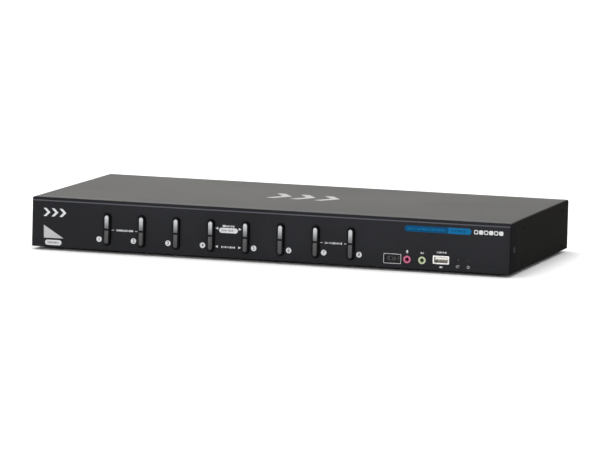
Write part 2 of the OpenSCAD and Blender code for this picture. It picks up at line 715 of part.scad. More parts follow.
module rear_mic_jacks() color([0.85, 0.45, 0.6]) in_case() for (x = bays)
  translate([x + mic_x, 0, 0]) rear_jack();

module rear_speaker_jacks() color([0.55, 0.75, 0.4]) in_case() for (x = bays)
  translate([x + speaker_x, 0, 0]) rear_jack();

// Two USB sockets, one over the other.
module rear_usb_shell() color([0.78, 0.78, 0.8]) in_case()
  translate([from_right(stack_inset), panel_back - 15, board_top + stack_h / 2]) difference() {
    block(usb_w, 15.6, stack_h);
    for (s = [-1, 1]) translate([0, 0.8, s * stack_rise]) block(usb_in_w, 20, usb_in_h);
    translate([0, -cut, 0]) block(usb_in_w, 15.6, 1.2);
  }

module rear_usb_tongues() color([0.9, 0.9, 0.88]) in_case() for (s = [-1, 1])
  translate([from_right(stack_inset), panel_back - 14.2, board_top + stack_h / 2 + s * stack_rise]) {
    block(usb_in_w - 0.1, 2.5, usb_in_h - 0.1);
    translate([0, 2.5 - e, tongue_up]) block(tongue_w, 10.6, tongue_t);
  }

// ---- front sockets ------------------------------------------------------

module front_jack(x) translate([from_right(x), wall_back + 0.6, jack_z])
  jack(wall_back + 0.6 + jack_out, io_board_top - jack_z, 3.8, jack_depth);
module front_mic_jack() color([0.85, 0.45, 0.6]) in_case() front_jack(mic_inset);
module front_speaker_jack() color([0.55, 0.75, 0.4]) in_case() front_jack(speaker_inset);

// A USB socket's skin with a flared mouth.
module at_front_usb() translate([from_right(usb_inset), 0, io_z]) children();

module front_usb_shell() color([0.78, 0.78, 0.8]) in_case() at_front_usb() difference() {
  union() {
    translate([0, 0.4, 0]) block(usb_w, 15.6, usb_h);
    translate([0, 0.3, 0]) upright(0.5)
      soft_rect(usb_w + 2 * usb_lip, usb_h + 2 * usb_lip, 0.7);
    for (s = [-1, 1]) translate([s * (usb_w - usb_skin) / 2, 9, (io_board_top - io_z) / 2])
      block(usb_skin, 5, io_z - io_board_top);
  }
  translate([0, -cut, 0]) block(usb_in_w, 16, usb_in_h);
}

module front_usb_tongue() color([0.92, 0.92, 0.9]) in_case() at_front_usb() {
  translate([0, 12.6, 0]) block(usb_in_w - 0.1, 2.2, usb_in_h - 0.1);
  translate([0, 2.2, tongue_up]) block(tongue_w, 10.4 + e, tongue_t);
}

// A round pin with a collar that keeps it behind the face.
module reset_button() color([0.05, 0.05, 0.05]) in_case()
  translate([from_right(reset_inset), reset_in, reset_z]) {
    rod(reset_r, reset_len);
    translate([0, bezel_t + 0.3 - reset_in, 0]) rod(reset_r + 0.7, 0.8);
  }

module recovery_switch() color([0.3, 0.3, 0.32]) in_case()
  translate([from_right(recovery_inset), 0, recovery_z]) difference() {
    translate([0, bezel_t + 0.1, 0]) block(recovery_w + 1.4, 6.3, recovery_h + 0.8);
    translate([knob_rest - recovery_travel / 2, bezel_t, 0]) block(recovery_travel + 2.4, 4, 2);
  }

module recovery_slider() color([0.03, 0.03, 0.03]) in_case()
  translate([from_right(recovery_inset) + knob_rest, 0, recovery_z]) {
    difference() {
      translate([0, 0.3, 0]) block(knob_w, bezel_t - 0.4, knob_h);
      for (x = [-1, 0, 1]) translate([x, 0.3 - e, 0]) block(0.4, 0.4, knob_h + 1);
    }
    translate([0, bezel_t - 0.1 - e, 0]) block(1.8, 2.6, 1.6);
  }

module power_lens() color([0.8, 0.85, 0.9, 0.7]) in_case()
  translate([from_right(power_inset), 0, power_z]) {
    translate([0, power_in, 0]) rod(power_r, 8);
    translate([0, bezel_t, 0]) rod(power_r + 0.8, 0.8);
  }

// Push switches on the front board, and the reset switch on its own board.
module tact_switch(w, h) {
  translate([0, plunger_h, 0]) block(w, switch_h, h);
  rod(1.7, plunger_h + e);
}
module tact_switches() color([0.2, 0.2, 0.2]) in_case() {
  at_ports() translate([0, plunger_y, 0]) tact_switch(6, 6);
  translate([from_right(reset_inset), reset_in + reset_len + reset_travel + stop_gap, reset_z])
    tact_switch(5, 2 * (reset_z - io_board_top));
}

module port_leds() color([0.9, 0.9, 0.8]) in_case() {
  at_ports() for (s = [-1, 1]) translate([0, front_board_y - 1.2, s * 8]) block(2, 1.2, 1.6);
  translate([from_right(power_inset), 8.6, power_z]) block(2.6, 3, 2 * (power_z - io_board_top));
}

// ---- port buttons -------------------------------------------------------

// One light window's opening, from the bridge out to a round end. up is 1 or -1.
module window_shape(up, g) intersection() {
  slot_shape(lens_w + 2 * g, window_h + 2 * g);
  translate([-lens_w, up > 0 ? bridge_h / 2 - g : -window_h])
    square([2 * lens_w, window_h - bridge_h / 2 + g]);
}

module at_port(i) translate([port_x(i), 0, port_z]) children();

// A thin slice of a button's cap whose front is at y.
module cap_slice(y, w, h) translate([0, y, 0]) upright(0.1) slot_shape(w, h, $fn = 32);

// A tall black cap that narrows towards its crown, with two windows, a flange
// that keeps it behind the face and a stem for the push switch.
module port_button(i) color([0.03, 0.03, 0.03]) in_case() at_port(i) difference() {
  union() {
    hull() {
      cap_slice(-cap_straight, button_w, button_h);
      cap_slice(-button_out + 0.5, crown_w + 0.7, crown_h + 0.7);
      cap_slice(-button_out, crown_w, crown_h);
    }
    translate([0, -cap_straight, 0]) upright(flange_y + cap_straight + e)
      slot_shape(button_w, button_h);
    translate([0, flange_y, 0]) upright(flange_t)
      slot_shape(slot_w + 2 * flange_lap, slot_h + 2 * flange_lap);
    rod(stem_r, stem_back);
  }
  for (up = [-1, 1]) translate([0, -button_out - cut, 0])
    upright(button_out + flange_y + flange_t + 2 * cut) window_shape(up, 0);
}

// Clear light guide: two windows joined by a web behind the flange.
module port_lens(i) color([0.8, 0.82, 0.85]) in_case() at_port(i) difference() {
  union() {
    for (up = [-1, 1]) translate([0, -button_out, 0])
      upright(button_out + flange_y + flange_t + 0.2) window_shape(up, -lens_gap);
    translate([0, flange_y + flange_t + 0.1, 0]) upright(0.9) slot_shape(lens_w, window_h);
  }
  translate([0, flange_y, 0]) rod(stem_r + 0.1, 4);
}

front_bezel();
chassis_tray();
rear_panel();
top_cover();
rubber_feet();
bezel_screws();
case_screws();
rack_nuts();
main_board();
video_board();
switch_chips();
chip_heatsinks();
board_spacers();
board_screws();
front_board();
tact_switches();
port_leds();
front_io_board();
ribbon_cable();
supply_board();
supply_transformer();
supply_capacitors();
supply_heatsink();
power_inlet();
inlet_pins();
rocker_housing();
power_rocker();
dvi_shells();
dvi_inserts();
dvi_jackscrews();
usb_b_shells();
usb_b_cores();
rear_mic_jacks();
rear_speaker_jacks();
rear_usb_shell();
rear_usb_tongues();
front_usb_shell();
front_usb_tongue();
front_mic_jack();
front_speaker_jack();
reset_button();
recovery_switch();
recovery_slider();
power_lens();
for (i = port_list) {
  port_button(i);
  port_lens(i);
}
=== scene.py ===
"""Looks of a rack-width switch box: finishes for its pieces, printed legends, contacts and a studio."""

import json
import logging
import math
import random
from dataclasses import dataclass, field, replace
from enum import Enum
from typing import Dict, List, Optional, Sequence, Tuple, Union

import bmesh
import bpy
from mathutils import Matrix, Vector

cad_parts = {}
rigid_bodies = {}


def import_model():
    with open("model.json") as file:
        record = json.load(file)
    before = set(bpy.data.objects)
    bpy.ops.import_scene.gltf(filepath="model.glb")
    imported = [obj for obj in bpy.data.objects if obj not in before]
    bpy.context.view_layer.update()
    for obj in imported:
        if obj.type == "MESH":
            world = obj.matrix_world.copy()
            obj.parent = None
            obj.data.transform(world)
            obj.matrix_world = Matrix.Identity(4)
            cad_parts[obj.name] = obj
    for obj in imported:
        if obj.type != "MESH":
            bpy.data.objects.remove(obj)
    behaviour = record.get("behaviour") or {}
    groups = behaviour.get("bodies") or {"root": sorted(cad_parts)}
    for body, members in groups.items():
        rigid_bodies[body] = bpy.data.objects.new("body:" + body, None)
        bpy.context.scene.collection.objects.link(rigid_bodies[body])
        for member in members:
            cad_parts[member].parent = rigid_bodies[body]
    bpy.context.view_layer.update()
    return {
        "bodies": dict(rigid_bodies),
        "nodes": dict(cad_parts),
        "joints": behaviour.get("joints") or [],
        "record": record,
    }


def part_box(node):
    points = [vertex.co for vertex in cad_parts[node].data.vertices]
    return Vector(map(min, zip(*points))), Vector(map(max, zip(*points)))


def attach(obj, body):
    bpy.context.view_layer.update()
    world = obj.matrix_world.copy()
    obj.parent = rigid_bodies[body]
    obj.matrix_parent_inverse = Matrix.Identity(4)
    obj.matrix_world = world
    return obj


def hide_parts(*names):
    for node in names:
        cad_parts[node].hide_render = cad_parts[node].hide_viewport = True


log = logging.getLogger("switch_box")

MM = 0.001
CASE = "case"
Colour = Tuple[float, float, float]
Loop = List[Tuple[float, float]]


# ---- shader expressions ---------------------------------------------------


class Value:
    """One number of a shader, written in ordinary arithmetic."""

    def __init__(self, nodes: "Nodes", socket: bpy.types.NodeSocket) -> None:
        """Wraps a socket of a node tree.

        Args:
            nodes: The tree that the socket is in.
            socket: The output that holds the number.
        """
        self.nodes = nodes
        self.socket = socket

    def math(self, operation: str, first: "Number", second: "Number" = 0.0) -> "Value":
        """Adds one Math node.

        Args:
            operation: The node's operation.
            first: Its first number.
            second: Its second number.

        Returns:
            The node's result.
        """
        node = self.nodes.add("ShaderNodeMath", {"operation": operation}, {0: first, 1: second})
        return Value(self.nodes, node.outputs[0])

    def __add__(self, other: "Number") -> "Value":
        """self + other."""
        return self.math("ADD", self, other)

    def __radd__(self, other: "Number") -> "Value":
        """other + self."""
        return self.math("ADD", other, self)

    def __sub__(self, other: "Number") -> "Value":
        """self - other."""
        return self.math("SUBTRACT", self, other)

    def __rsub__(self, other: "Number") -> "Value":
        """other - self."""
        return self.math("SUBTRACT", other, self)

    def __mul__(self, other: "Number") -> "Value":
        """self * other."""
        return self.math("MULTIPLY", self, other)

    def __rmul__(self, other: "Number") -> "Value":
        """other * self."""
        return self.math("MULTIPLY", other, self)

    def __truediv__(self, other: "Number") -> "Value":
        """self / other."""
        return self.math("DIVIDE", self, other)

    def __pow__(self, other: "Number") -> "Value":
        """self ** other."""
        return self.math("POWER", self, other)

    def __gt__(self, other: "Number") -> "Value":
        """1 where self > other, else 0."""
        return self.math("GREATER_THAN", self, other)

    def __lt__(self, other: "Number") -> "Value":
        """1 where self < other, else 0."""
        return self.math("LESS_THAN", self, other)

    def fraction(self) -> "Value":
        """What is left of the number past the whole one below it."""
        return self.math("FRACT", self)

    def absolute(self) -> "Value":
        """The number without its sign."""
        return self.math("ABSOLUTE", self)

    def span(self, low: float, high: float) -> "Value":
        """0 at low and 1 at high, smooth between and held beyond.

        Args:
            low: The number that gives 0.
            high: The number that gives 1.

        Returns:
            The share of the way from low to high.
        """
        node = self.nodes.add("ShaderNodeMapRange", {"interpolation_type": "SMOOTHSTEP"},
                              {"Value": self, "From Min": low, "From Max": high})
        return Value(self.nodes, node.outputs["Result"])


Number = Union[float, int, Value]
Fill = Union[float, int, Tuple[float, ...], Value, bpy.types.NodeSocket]


class Nodes:
    """The node tree of a material or of the world, with one way to add a node."""

    def __init__(self, name: str, blocks: Optional[bpy.types.bpy_prop_collection] = None) -> None:
        """Makes an empty material or world.

        Args:
            name: Its name.
            blocks: The list that it is made in. It is the materials if nothing is given.
        """
        self.block = (bpy.data.materials if blocks is None else blocks).new(name)
        self.block.use_nodes = True
        self.tree = self.block.node_tree
        self.tree.nodes.clear()
        self.place = self.add("ShaderNodeTexCoord").outputs["Object"]

    def add(self, kind: str, settings: Optional[Dict[str, object]] = None,
            fills: Optional[Dict[Union[str, int], Fill]] = None) -> bpy.types.Node:
        """Adds a node.

        Args:
            kind: The node's type name.
            settings: Its properties, set first.
            fills: A value or a link for each of its inputs.

        Returns:
            The node.
        """
        node = self.tree.nodes.new(kind)
        for name, value in (settings or {}).items():
            setattr(node, name, value)
        for name, value in (fills or {}).items():
            socket = node.inputs[name]
            if isinstance(value, Value):
                self.tree.links.new(value.socket, socket)
            elif isinstance(value, bpy.types.NodeSocket):
                self.tree.links.new(value, socket)
            elif isinstance(value, tuple) and len(value) == 3 and socket.type == "RGBA":
                socket.default_value = (*value, 1.0)
            else:
                socket.default_value = value
        return node

    def noise(self, scale: float, detail: float = 2.0, stretch: Colour = (1.0, 1.0, 1.0)) -> Value:
        """Noise over the object's own place.

        Args:
            scale: Features per metre.
            detail: Octaves of finer noise.
            stretch: How much tighter the noise runs along X, Y and Z.

        Returns:
            The noise, about 0.5 on the mean.
        """
        spot = self.add("ShaderNodeVectorMath", {"operation": "MULTIPLY"}, {0: self.place, 1: stretch})
        fills = {"Vector": spot.outputs[0], "Scale": scale, "Detail": detail}
        node = self.add("ShaderNodeTexNoise", {}, fills)
        return Value(self, node.outputs[0])

    def axis(self, index: int) -> Value:
        """The place along one axis: 0, 1 or 2 for X, Y or Z, in metres."""
        return Value(self, self.add("ShaderNodeSeparateXYZ", {}, {0: self.place}).outputs[index])

    def facing(self, index: int) -> Value:
        """How squarely the surface faces along an axis, either way: 0 to 1."""
        true = self.add("ShaderNodeNewGeometry").outputs["True Normal"]
        return Value(self, self.add("ShaderNodeSeparateXYZ", {}, {0: true}).outputs[index]).absolute()

    def blend(self, share: Number, first: Fill, second: Fill) -> bpy.types.NodeSocket:
        """Mixes two colours.

        Args:
            share: 0 for the first, 1 for the second.
            first: A colour or a link.
            second: A colour or a link.

        Returns:
            The mixed colour's socket.
        """
        node = self.add("ShaderNodeMix", {"data_type": "RGBA"}, {0: share, 6: first, 7: second})
        return node.outputs[2]

    def soft_edges(self, radius: float) -> bpy.types.NodeSocket:
        """The normal with every edge rounded to a radius in metres."""
        return self.add("ShaderNodeBevel", {"samples": 4}, {"Radius": radius}).outputs[0]

    def edge_mask(self, radius: float) -> Value:
        """1 near the edges and 0 on flat faces, over a width in metres."""
        true = self.add("ShaderNodeNewGeometry").outputs["Normal"]
        dot = self.add("ShaderNodeVectorMath", {"operation": "DOT_PRODUCT"},
                       {0: self.soft_edges(radius), 1: true})
        return (1.0 - Value(self, dot.outputs["Value"])).span(0.02, 0.3)

    def bump(self, height: Value, depth: float, normal: bpy.types.NodeSocket) -> bpy.types.NodeSocket:
        """Bumps a surface.

        Args:
            height: 0 to 1 over the surface.
            depth: What 1 stands for, in metres.
            normal: The normal to bump.

        Returns:
            The bumped normal's socket.
        """
        fills = {"Height": height, "Distance": depth, "Strength": 1.0, "Normal": normal}
        return self.add("ShaderNodeBump", {}, fills).outputs[0]

    def finish(self, **fills: Fill) -> bpy.types.Material:
        """Ends the tree in one Principled shader.

        Args:
            **fills: The shader's inputs, with _ for each space.

        Returns:
            The finished material.
        """
        named = {name.replace("_", " "): value for name, value in fills.items()}
        shader = self.add("ShaderNodeBsdfPrincipled", {}, named)
        self.add("ShaderNodeOutputMaterial", {}, {"Surface": shader.outputs[0]})
        return self.block


# ---- finishes -------------------------------------------------------------


def shade(colour: Colour, factor: float) -> Colour:
    """A colour made lighter or darker by a factor."""
    return tuple(min(1.0, part * factor) for part in colour)


@dataclass(frozen=True)
class Paint:
    """Baked paint on steel: a fine orange peel, slow mottling and slightly rubbed edges.

    Its colour is darkened on the left and right faces as painted shade, and it is rougher there. Between two
    heights its colour is made paler as a painted highlight.
    """

    name: str
    colour: Colour
    roughness: float
    grain: float = 0.45 * MM
    depth: float = 0.004 * MM
    wear: float = 1.6
    gloss: float = 0.5
    # The next three fields set the painted highlight's two heights, the share of colour kept on the left and
    # right faces as painted shade, and how much paler the painted highlight is.
    ridge_highlight: Tuple[float, float] = (0.0, 0.0)
    ends_shade: float = 1.0
    pale: float = 4.5

    def make(self) -> bpy.types.Material:
        """Builds the material."""
        nodes = Nodes(self.name)
        mottle = nodes.noise(14.0, 3.0)
        peel = nodes.noise(1.0 / self.grain, 2.0)
        speckle = nodes.noise(0.7 / self.grain, 1.0).span(0.62, 0.74)
        dark, light = shade(self.colour, 0.86), shade(self.colour, 1.12)
        base = nodes.blend(mottle.span(0.3, 0.7), dark, light)
        base = nodes.blend(speckle * 0.35, base, shade(self.colour, 1.9))
        base = nodes.blend(nodes.edge_mask(0.5 * MM) * 0.5, base, shade(self.colour, self.wear))
        # Painted highlight: between the two heights the colour is made paler.
        low, high = self.ridge_highlight
        if high > low:
            height = nodes.axis(2)
            base = nodes.blend((height > low) * (height < high), base, shade(self.colour, self.pale))
        # Painted shade: faces that face left and right get a darker colour. They are also made rougher.
        ends_shade_and_matte = nodes.facing(0).span(0.6, 0.9)
        base = nodes.blend(ends_shade_and_matte, base, shade(self.colour, self.ends_shade))
        rough = self.roughness + 0.07 * (mottle - 0.5) + 0.05 * (peel - 0.5)
        return nodes.finish(
            Base_Color=base, Roughness=rough + ends_shade_and_matte * (0.97 - self.roughness),
            Specular_IOR_Level=self.gloss,
            Normal=nodes.bump(peel, self.depth, nodes.soft_edges(0.25 * MM)))


@dataclass(frozen=True)
class Plastic:
    """Moulded plastic: a fine spark-eroded grain and faint flow marks."""

    name: str
    colour: Colour
    roughness: float
    grain: float = 0.25 * MM
    depth: float = 0.003 * MM
    edge: float = 0.15 * MM
    coat: float = 0.0
    gloss: float = 0.5

    def make(self) -> bpy.types.Material:
        """Builds the material."""
        nodes = Nodes(self.name)
        flow = nodes.noise(120.0, 3.0, (1.0, 1.0, 0.3))
        grain = nodes.noise(1.0 / self.grain, 2.0)
        base = nodes.blend(flow.span(0.3, 0.7), shade(self.colour, 0.88), shade(self.colour, 1.1))
        base = nodes.blend(nodes.edge_mask(2.0 * self.edge) * 0.3, base, shade(self.colour, 1.5))
        return nodes.finish(
            Base_Color=base, Roughness=self.roughness + 0.08 * (flow - 0.5) + 0.06 * (grain - 0.5),
            Coat_Weight=self.coat, Coat_Roughness=0.08, Specular_IOR_Level=self.gloss,
            Normal=nodes.bump(grain, self.depth, nodes.soft_edges(self.edge)))


@dataclass(frozen=True)
class Metal:
    """Plated or drawn metal: fine lines one way, cloudy tarnish and bright edges."""

    name: str
    colour: Colour
    roughness: float
    lines: Colour = (1.0, 12.0, 12.0)
    depth: float = 0.002 * MM

    def make(self) -> bpy.types.Material:
        """Builds the material."""
        nodes = Nodes(self.name)
        cloud = nodes.noise(300.0, 3.0)
        drawn = nodes.noise(900.0, 3.0, self.lines)
        base = nodes.blend(cloud.span(0.3, 0.75), self.colour, shade(self.colour, 0.78))
        base = nodes.blend(nodes.edge_mask(0.2 * MM) * 0.5, base, shade(self.colour, 1.25))
        return nodes.finish(
            Base_Color=base, Metallic=1.0,
            Roughness=self.roughness + 0.12 * (drawn - 0.5) + 0.1 * (cloud - 0.5),
            Normal=nodes.bump(drawn, self.depth, nodes.soft_edges(0.08 * MM)))


@dataclass(frozen=True)
class LightWindow:
    """A clear light guide seen through two windows: frosted above the bar, smoked below it. The upper window
    has a painted highlight, in colour and in emission, that fades down from its top. The lower one has
    painted shade that deepens towards its bottom.
    """

    name: str
    middle: float
    reach: float
    rib: float = 1.15 * MM

    def make(self) -> bpy.types.Material:
        """Builds the material."""
        nodes = Nodes(self.name)
        height = nodes.axis(2) - self.middle
        ribs = ((height / self.rib).fraction() - 0.5).absolute() * 2.0
        upper = height > 0.0
        # Painted highlight: the upper window's colour brightens from the bar up towards its top.
        rise = height.span(0.0, self.reach)
        cloud = nodes.noise(700.0, 3.0)
        frosted = nodes.blend(rise, (0.06, 0.062, 0.067), (0.46, 0.47, 0.49))
        # Painted shade: the lower window's colour darkens from the bar down towards its bottom.
        shade_fall = (0.0 - height).span(0.0, self.reach)
        smoked = nodes.blend(shade_fall, (0.026, 0.027, 0.03), (0.006, 0.0062, 0.007))
        base = nodes.blend(upper, smoked, frosted)
        base = nodes.blend((ribs * 0.3 + cloud * 0.25).span(0.1, 0.5), base, (0.02, 0.021, 0.023))
        # Painted highlight as emission: the upper window glows most at its top, with no lamp there.
        highlight_emission = nodes.blend(upper * rise, (0.0, 0.0, 0.0), (0.5, 0.52, 0.56))
        return nodes.finish(
            Base_Color=nodes.blend(0.55, base, nodes.blend(upper, smoked, frosted)),
            Roughness=0.24 + 0.18 * ribs + 0.1 * (cloud - 0.5), Coat_Weight=0.25, Coat_Roughness=0.1,
            Emission_Color=highlight_emission, Emission_Strength=0.1,
            Normal=nodes.bump(ribs, 0.03 * MM, nodes.soft_edges(0.2 * MM)))


@dataclass(frozen=True)
class BoardMask:
    """Solder mask over copper tracks and vias."""

    name: str
    mask: Colour
    pitch: float = 3.2 * MM

    def make(self) -> bpy.types.Material:
        """Builds the material."""
        nodes = Nodes(self.name)
        wander = nodes.noise(60.0, 2.0)
        run = ((nodes.axis(0) + wander * 0.01) / self.pitch).fraction()
        tracks = (run - 0.5).absolute().span(0.18, 0.12)
        cell = nodes.add("ShaderNodeTexVoronoi", {}, {"Vector": nodes.place, "Scale": 1.0 / self.pitch})
        spot = Value(nodes, cell.outputs["Distance"])
        vias = spot.span(0.13, 0.1)
        base = nodes.blend(tracks * 0.6, self.mask, shade(self.mask, 1.9))
        base = nodes.blend(vias, base, (0.55, 0.5, 0.35))
        return nodes.finish(
            Base_Color=base, Metallic=vias * 0.8, Roughness=0.38 + 0.1 * (wander - 0.5),
            Normal=nodes.bump(tracks * 0.5 + vias * 0.5, 0.02 * MM, nodes.soft_edges(0.1 * MM)))


@dataclass(frozen=True)
class Striped:
    """Wires side by side, such as a ribbon cable's, or turns of tape, with painted shade in the grooves
    between them.
    """

    name: str
    colour: Colour
    marked: Colour
    pitch: float
    axis: int

    def make(self) -> bpy.types.Material:
        """Builds the material."""
        nodes = Nodes(self.name)
        run = (nodes.axis(self.axis) / self.pitch).fraction()
        crown = 1.0 - ((run - 0.5).absolute() * 2.0) ** 2.0
        grime = nodes.noise(150.0, 3.0)
        # Painted shade: the colour drops to under half in the grooves between wires or turns.
        base = nodes.blend(crown.span(0.1, 0.6), shade(self.colour, 0.45), self.colour)
        base = nodes.blend(grime.span(0.6, 0.8) * 0.5, base, self.marked)
        return nodes.finish(
            Base_Color=base, Roughness=0.45 + 0.15 * (grime - 0.5),
            Normal=nodes.bump(crown, 0.3 * self.pitch, nodes.soft_edges(0.1 * MM)))


@dataclass(frozen=True)
class Rubber:
    """Soft black rubber with a dusty bloom."""

    name: str
    colour: Colour = (0.018, 0.018, 0.018)

    def make(self) -> bpy.types.Material:
        """Builds the material."""
        nodes = Nodes(self.name)
        bloom = nodes.noise(220.0, 4.0)
        grain = nodes.noise(3000.0, 2.0)
        base = nodes.blend(bloom.span(0.45, 0.75) * 0.6, self.colour, (0.06, 0.058, 0.055))
        return nodes.finish(Base_Color=base, Roughness=0.78 + 0.15 * (bloom - 0.5),
                            Normal=nodes.bump(grain, 0.01 * MM, nodes.soft_edges(0.3 * MM)))


@dataclass(frozen=True)
class Ink:
    """Screen-printed ink: not quite even, with a slight tooth from the mesh."""

    name: str
    colour: Colour
    roughness: float = 0.5
    gloss: float = 0.5

    def make(self) -> bpy.types.Material:
        """Builds the material."""
        nodes = Nodes(self.name)
        cover = nodes.noise(900.0, 3.0)
        mesh = nodes.noise(5000.0, 1.0)
        base = nodes.blend(cover.span(0.35, 0.8), self.colour, shade(self.colour, 0.8))
        return nodes.finish(Base_Color=base, Roughness=self.roughness + 0.1 * (mesh - 0.5),
                            Specular_IOR_Level=self.gloss,
                            Normal=nodes.bump(mesh, 0.002 * MM, nodes.soft_edges(0.01 * MM)))


@dataclass(frozen=True)
class Backdrop:
    """The studio's pale sweep. It shows from above only."""

    name: str
    colour: Colour

    def make(self) -> bpy.types.Material:
        """Builds the material."""
        nodes = Nodes(self.name)
        tone = nodes.noise(1.5, 2.0)
        base = nodes.blend(tone.span(0.3, 0.7), self.colour, shade(self.colour, 0.99))
        pale = nodes.add("ShaderNodeBsdfDiffuse", {}, {"Color": base})
        clear = nodes.add("ShaderNodeBsdfTransparent")
        under = nodes.add("ShaderNodeNewGeometry").outputs["Backfacing"]
        both = nodes.add("ShaderNodeMixShader", {}, {0: under, 1: pale.outputs[0], 2: clear.outputs[0]})
        nodes.add("ShaderNodeOutputMaterial", {}, {"Surface": both.outputs[0]})
        return nodes.block


# ---- flat artwork ---------------------------------------------------------


def circle(u: float, v: float, radius: float, count: int = 40) -> Loop:
    """A circle's loop.

    Args:
        u: Its middle's first coordinate.
        v: Its middle's second coordinate.
        radius: Its radius.
        count: Its number of points.

    Returns:
        The loop.
    """
    turns = [math.tau * k / count for k in range(count)]
    return [(u + radius * math.cos(a), v + radius * math.sin(a)) for a in turns]


def bar(u: float, v: float, width: float, height: float, radius: float = 0.0) -> Loop:
    """A rectangle's loop, with round corners if it has a radius.

    Args:
        u: Its middle's first coordinate.
        v: Its middle's second coordinate.
        width: Its width.
        height: Its height.
        radius: Its corners' radius.

    Returns:
        The loop.
    """
    corners = [(1, -1, 270), (1, 1, 0), (-1, 1, 90), (-1, -1, 180)]
    loop: Loop = []
    for side, rise, start in corners:
        mid_u = u + side * (width / 2 - radius)
        mid_v = v + rise * (height / 2 - radius)
        steps = range(0, 91, 15) if radius > 0 else (0,)
        for step in steps:
            angle = math.radians(start + step)
            loop.append((mid_u + radius * math.cos(angle), mid_v + radius * math.sin(angle)))
    return loop


def arc_band(u: float, v: float, inner: float, outer: float, start: float, end: float) -> Loop:
    """A bent band between two angles in degrees.

    Args:
        u: Its centre's first coordinate.
        v: Its centre's second coordinate.
        inner: Its inner radius.
        outer: Its outer radius.
        start: The angle that it starts at.
        end: The angle that it ends at.

    Returns:
        The loop.
    """
    count = max(6, int(abs(end - start) / 10))
    angles = [math.radians(start + (end - start) * k / count) for k in range(count + 1)]
    out = [(u + outer * math.cos(a), v + outer * math.sin(a)) for a in angles]
    back = [(u + inner * math.cos(a), v + inner * math.sin(a)) for a in reversed(angles)]
    return out + back


def ticks(u: float, v: float, width: float, height: float, count: int, seed: int) -> List[Loop]:
    """A row of plain upright ticks of mixed widths that stands where a legend was.

    Args:
        u: The row's middle.
        v: The row's middle height.
        width: The row's width.
        height: The ticks' height.
        count: The number of ticks.
        seed: Settles the widths.

    Returns:
        The ticks' loops.
    """
    draw = random.Random(seed)
    cell = width / count
    loops: List[Loop] = []
    for k in range(count):
        wide = cell * draw.choice((0.3, 0.5, 0.72))
        mid = u - width / 2 + (k + 0.5) * cell
        loops.append(bar(mid, v, wide, height * draw.choice((0.8, 1.0))))
    return loops


def microphone(u: float, v: float, size: float) -> List[Loop]:
    """A microphone's sign: a capsule in a cradle on a short stand."""
    return [bar(u, v + 0.16 * size, 0.4 * size, 0.68 * size, 0.199 * size),
            arc_band(u, v + 0.06 * size, 0.29 * size, 0.37 * size, 180, 360),
            bar(u, v - 0.4 * size, 0.08 * size, 0.14 * size)]


def loudspeaker(u: float, v: float, size: float) -> List[Loop]:
    """A loudspeaker's sign: a box, a cone and two waves."""
    cone = [(u - 0.3 * size, v - 0.14 * size), (u - 0.02 * size, v - 0.36 * size),
            (u - 0.02 * size, v + 0.36 * size), (u - 0.3 * size, v + 0.14 * size)]
    return [bar(u - 0.4 * size, v, 0.16 * size, 0.28 * size), cone,
            arc_band(u - 0.02 * size, v, 0.2 * size, 0.28 * size, -40, 40),
            arc_band(u - 0.02 * size, v, 0.38 * size, 0.46 * size, -42, 42)]


def power_sign(u: float, v: float, size: float) -> List[Loop]:
    """An open ring with a bar through its gap."""
    return [arc_band(u, v, 0.3 * size, 0.4 * size, 120, 420), bar(u, v + 0.3 * size, 0.1 * size, 0.4 * size)]


def reset_sign(u: float, v: float, size: float) -> List[Loop]:
    """A turning arrow."""
    tip = [(u + 0.16 * size, v + 0.38 * size), (u + 0.52 * size, v + 0.34 * size),
           (u + 0.36 * size, v + 0.06 * size)]
    return [arc_band(u, v, 0.28 * size, 0.38 * size, 60, 330), tip]


def screen_sign(u: float, v: float, size: float) -> List[Loop]:
    """A screen on a foot."""
    return [bar(u, v + 0.08 * size, size, 0.64 * size, 0.06 * size),
            bar(u, v + 0.08 * size, 0.84 * size, 0.48 * size),
            bar(u, v - 0.38 * size, 0.5 * size, 0.1 * size)]


def plug_sign(u: float, v: float, size: float) -> List[Loop]:
    """A flat plug seen from its side."""
    return [bar(u - 0.2 * size, v, 0.5 * size, 0.46 * size, 0.08 * size),
            bar(u + 0.22 * size, v, 0.26 * size, 0.3 * size),
            bar(u - 0.56 * size, v, 0.18 * size, 0.1 * size)]


def arrow(u: float, v: float, size: float, way: int) -> List[Loop]:
    """A triangle that points left for way -1 and right for way 1."""
    half, back = 0.5 * size, u - way * 0.5 * size
    return [[(back, v - half), (u + way * half, v), (back, v + half)]]


class Side(Enum):
    """The faces that artwork is printed on, with the way each one looks."""

    FRONT = "front"
    TOP = "top"
    BACK = "back"

    def placed(self, u: float, v: float, level: float) -> Matrix:
        """Where artwork lies.

        Args:
            u: Moves it to the right of who reads it.
            v: Moves it up for who reads it.
            level: The printed face's place along its own axis.

        Returns:
            The matrix from artwork to the object's frame.
        """
        if self is Side.FRONT:
            return Matrix.Translation((u, level, v)) @ Matrix.Rotation(math.pi / 2, 4, "X")
        if self is Side.TOP:
            return Matrix.Translation((u, v, level))
        turn = Matrix.Rotation(math.pi, 4, "Z") @ Matrix.Rotation(math.pi / 2, 4, "X")
        return Matrix.Translation((-u, level, v)) @ turn


def link(name: str, mesh: bpy.types.Mesh, material: bpy.types.Material, body: str = CASE) -> bpy.types.Object:
    """Puts a mesh in the scene and on its body.

    Args:
        name: The piece's name.
        mesh: Its mesh.
        material: Its material.
        body: The body that it rides on.

    Returns:
        The piece.
    """
    piece = bpy.data.objects.new(name, mesh)
    bpy.context.scene.collection.objects.link(piece)
    mesh.materials.clear()
    mesh.materials.append(material)
    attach(piece, body)
    log.info("%s: %d faces on %s", name, len(mesh.polygons), body)
    return piece


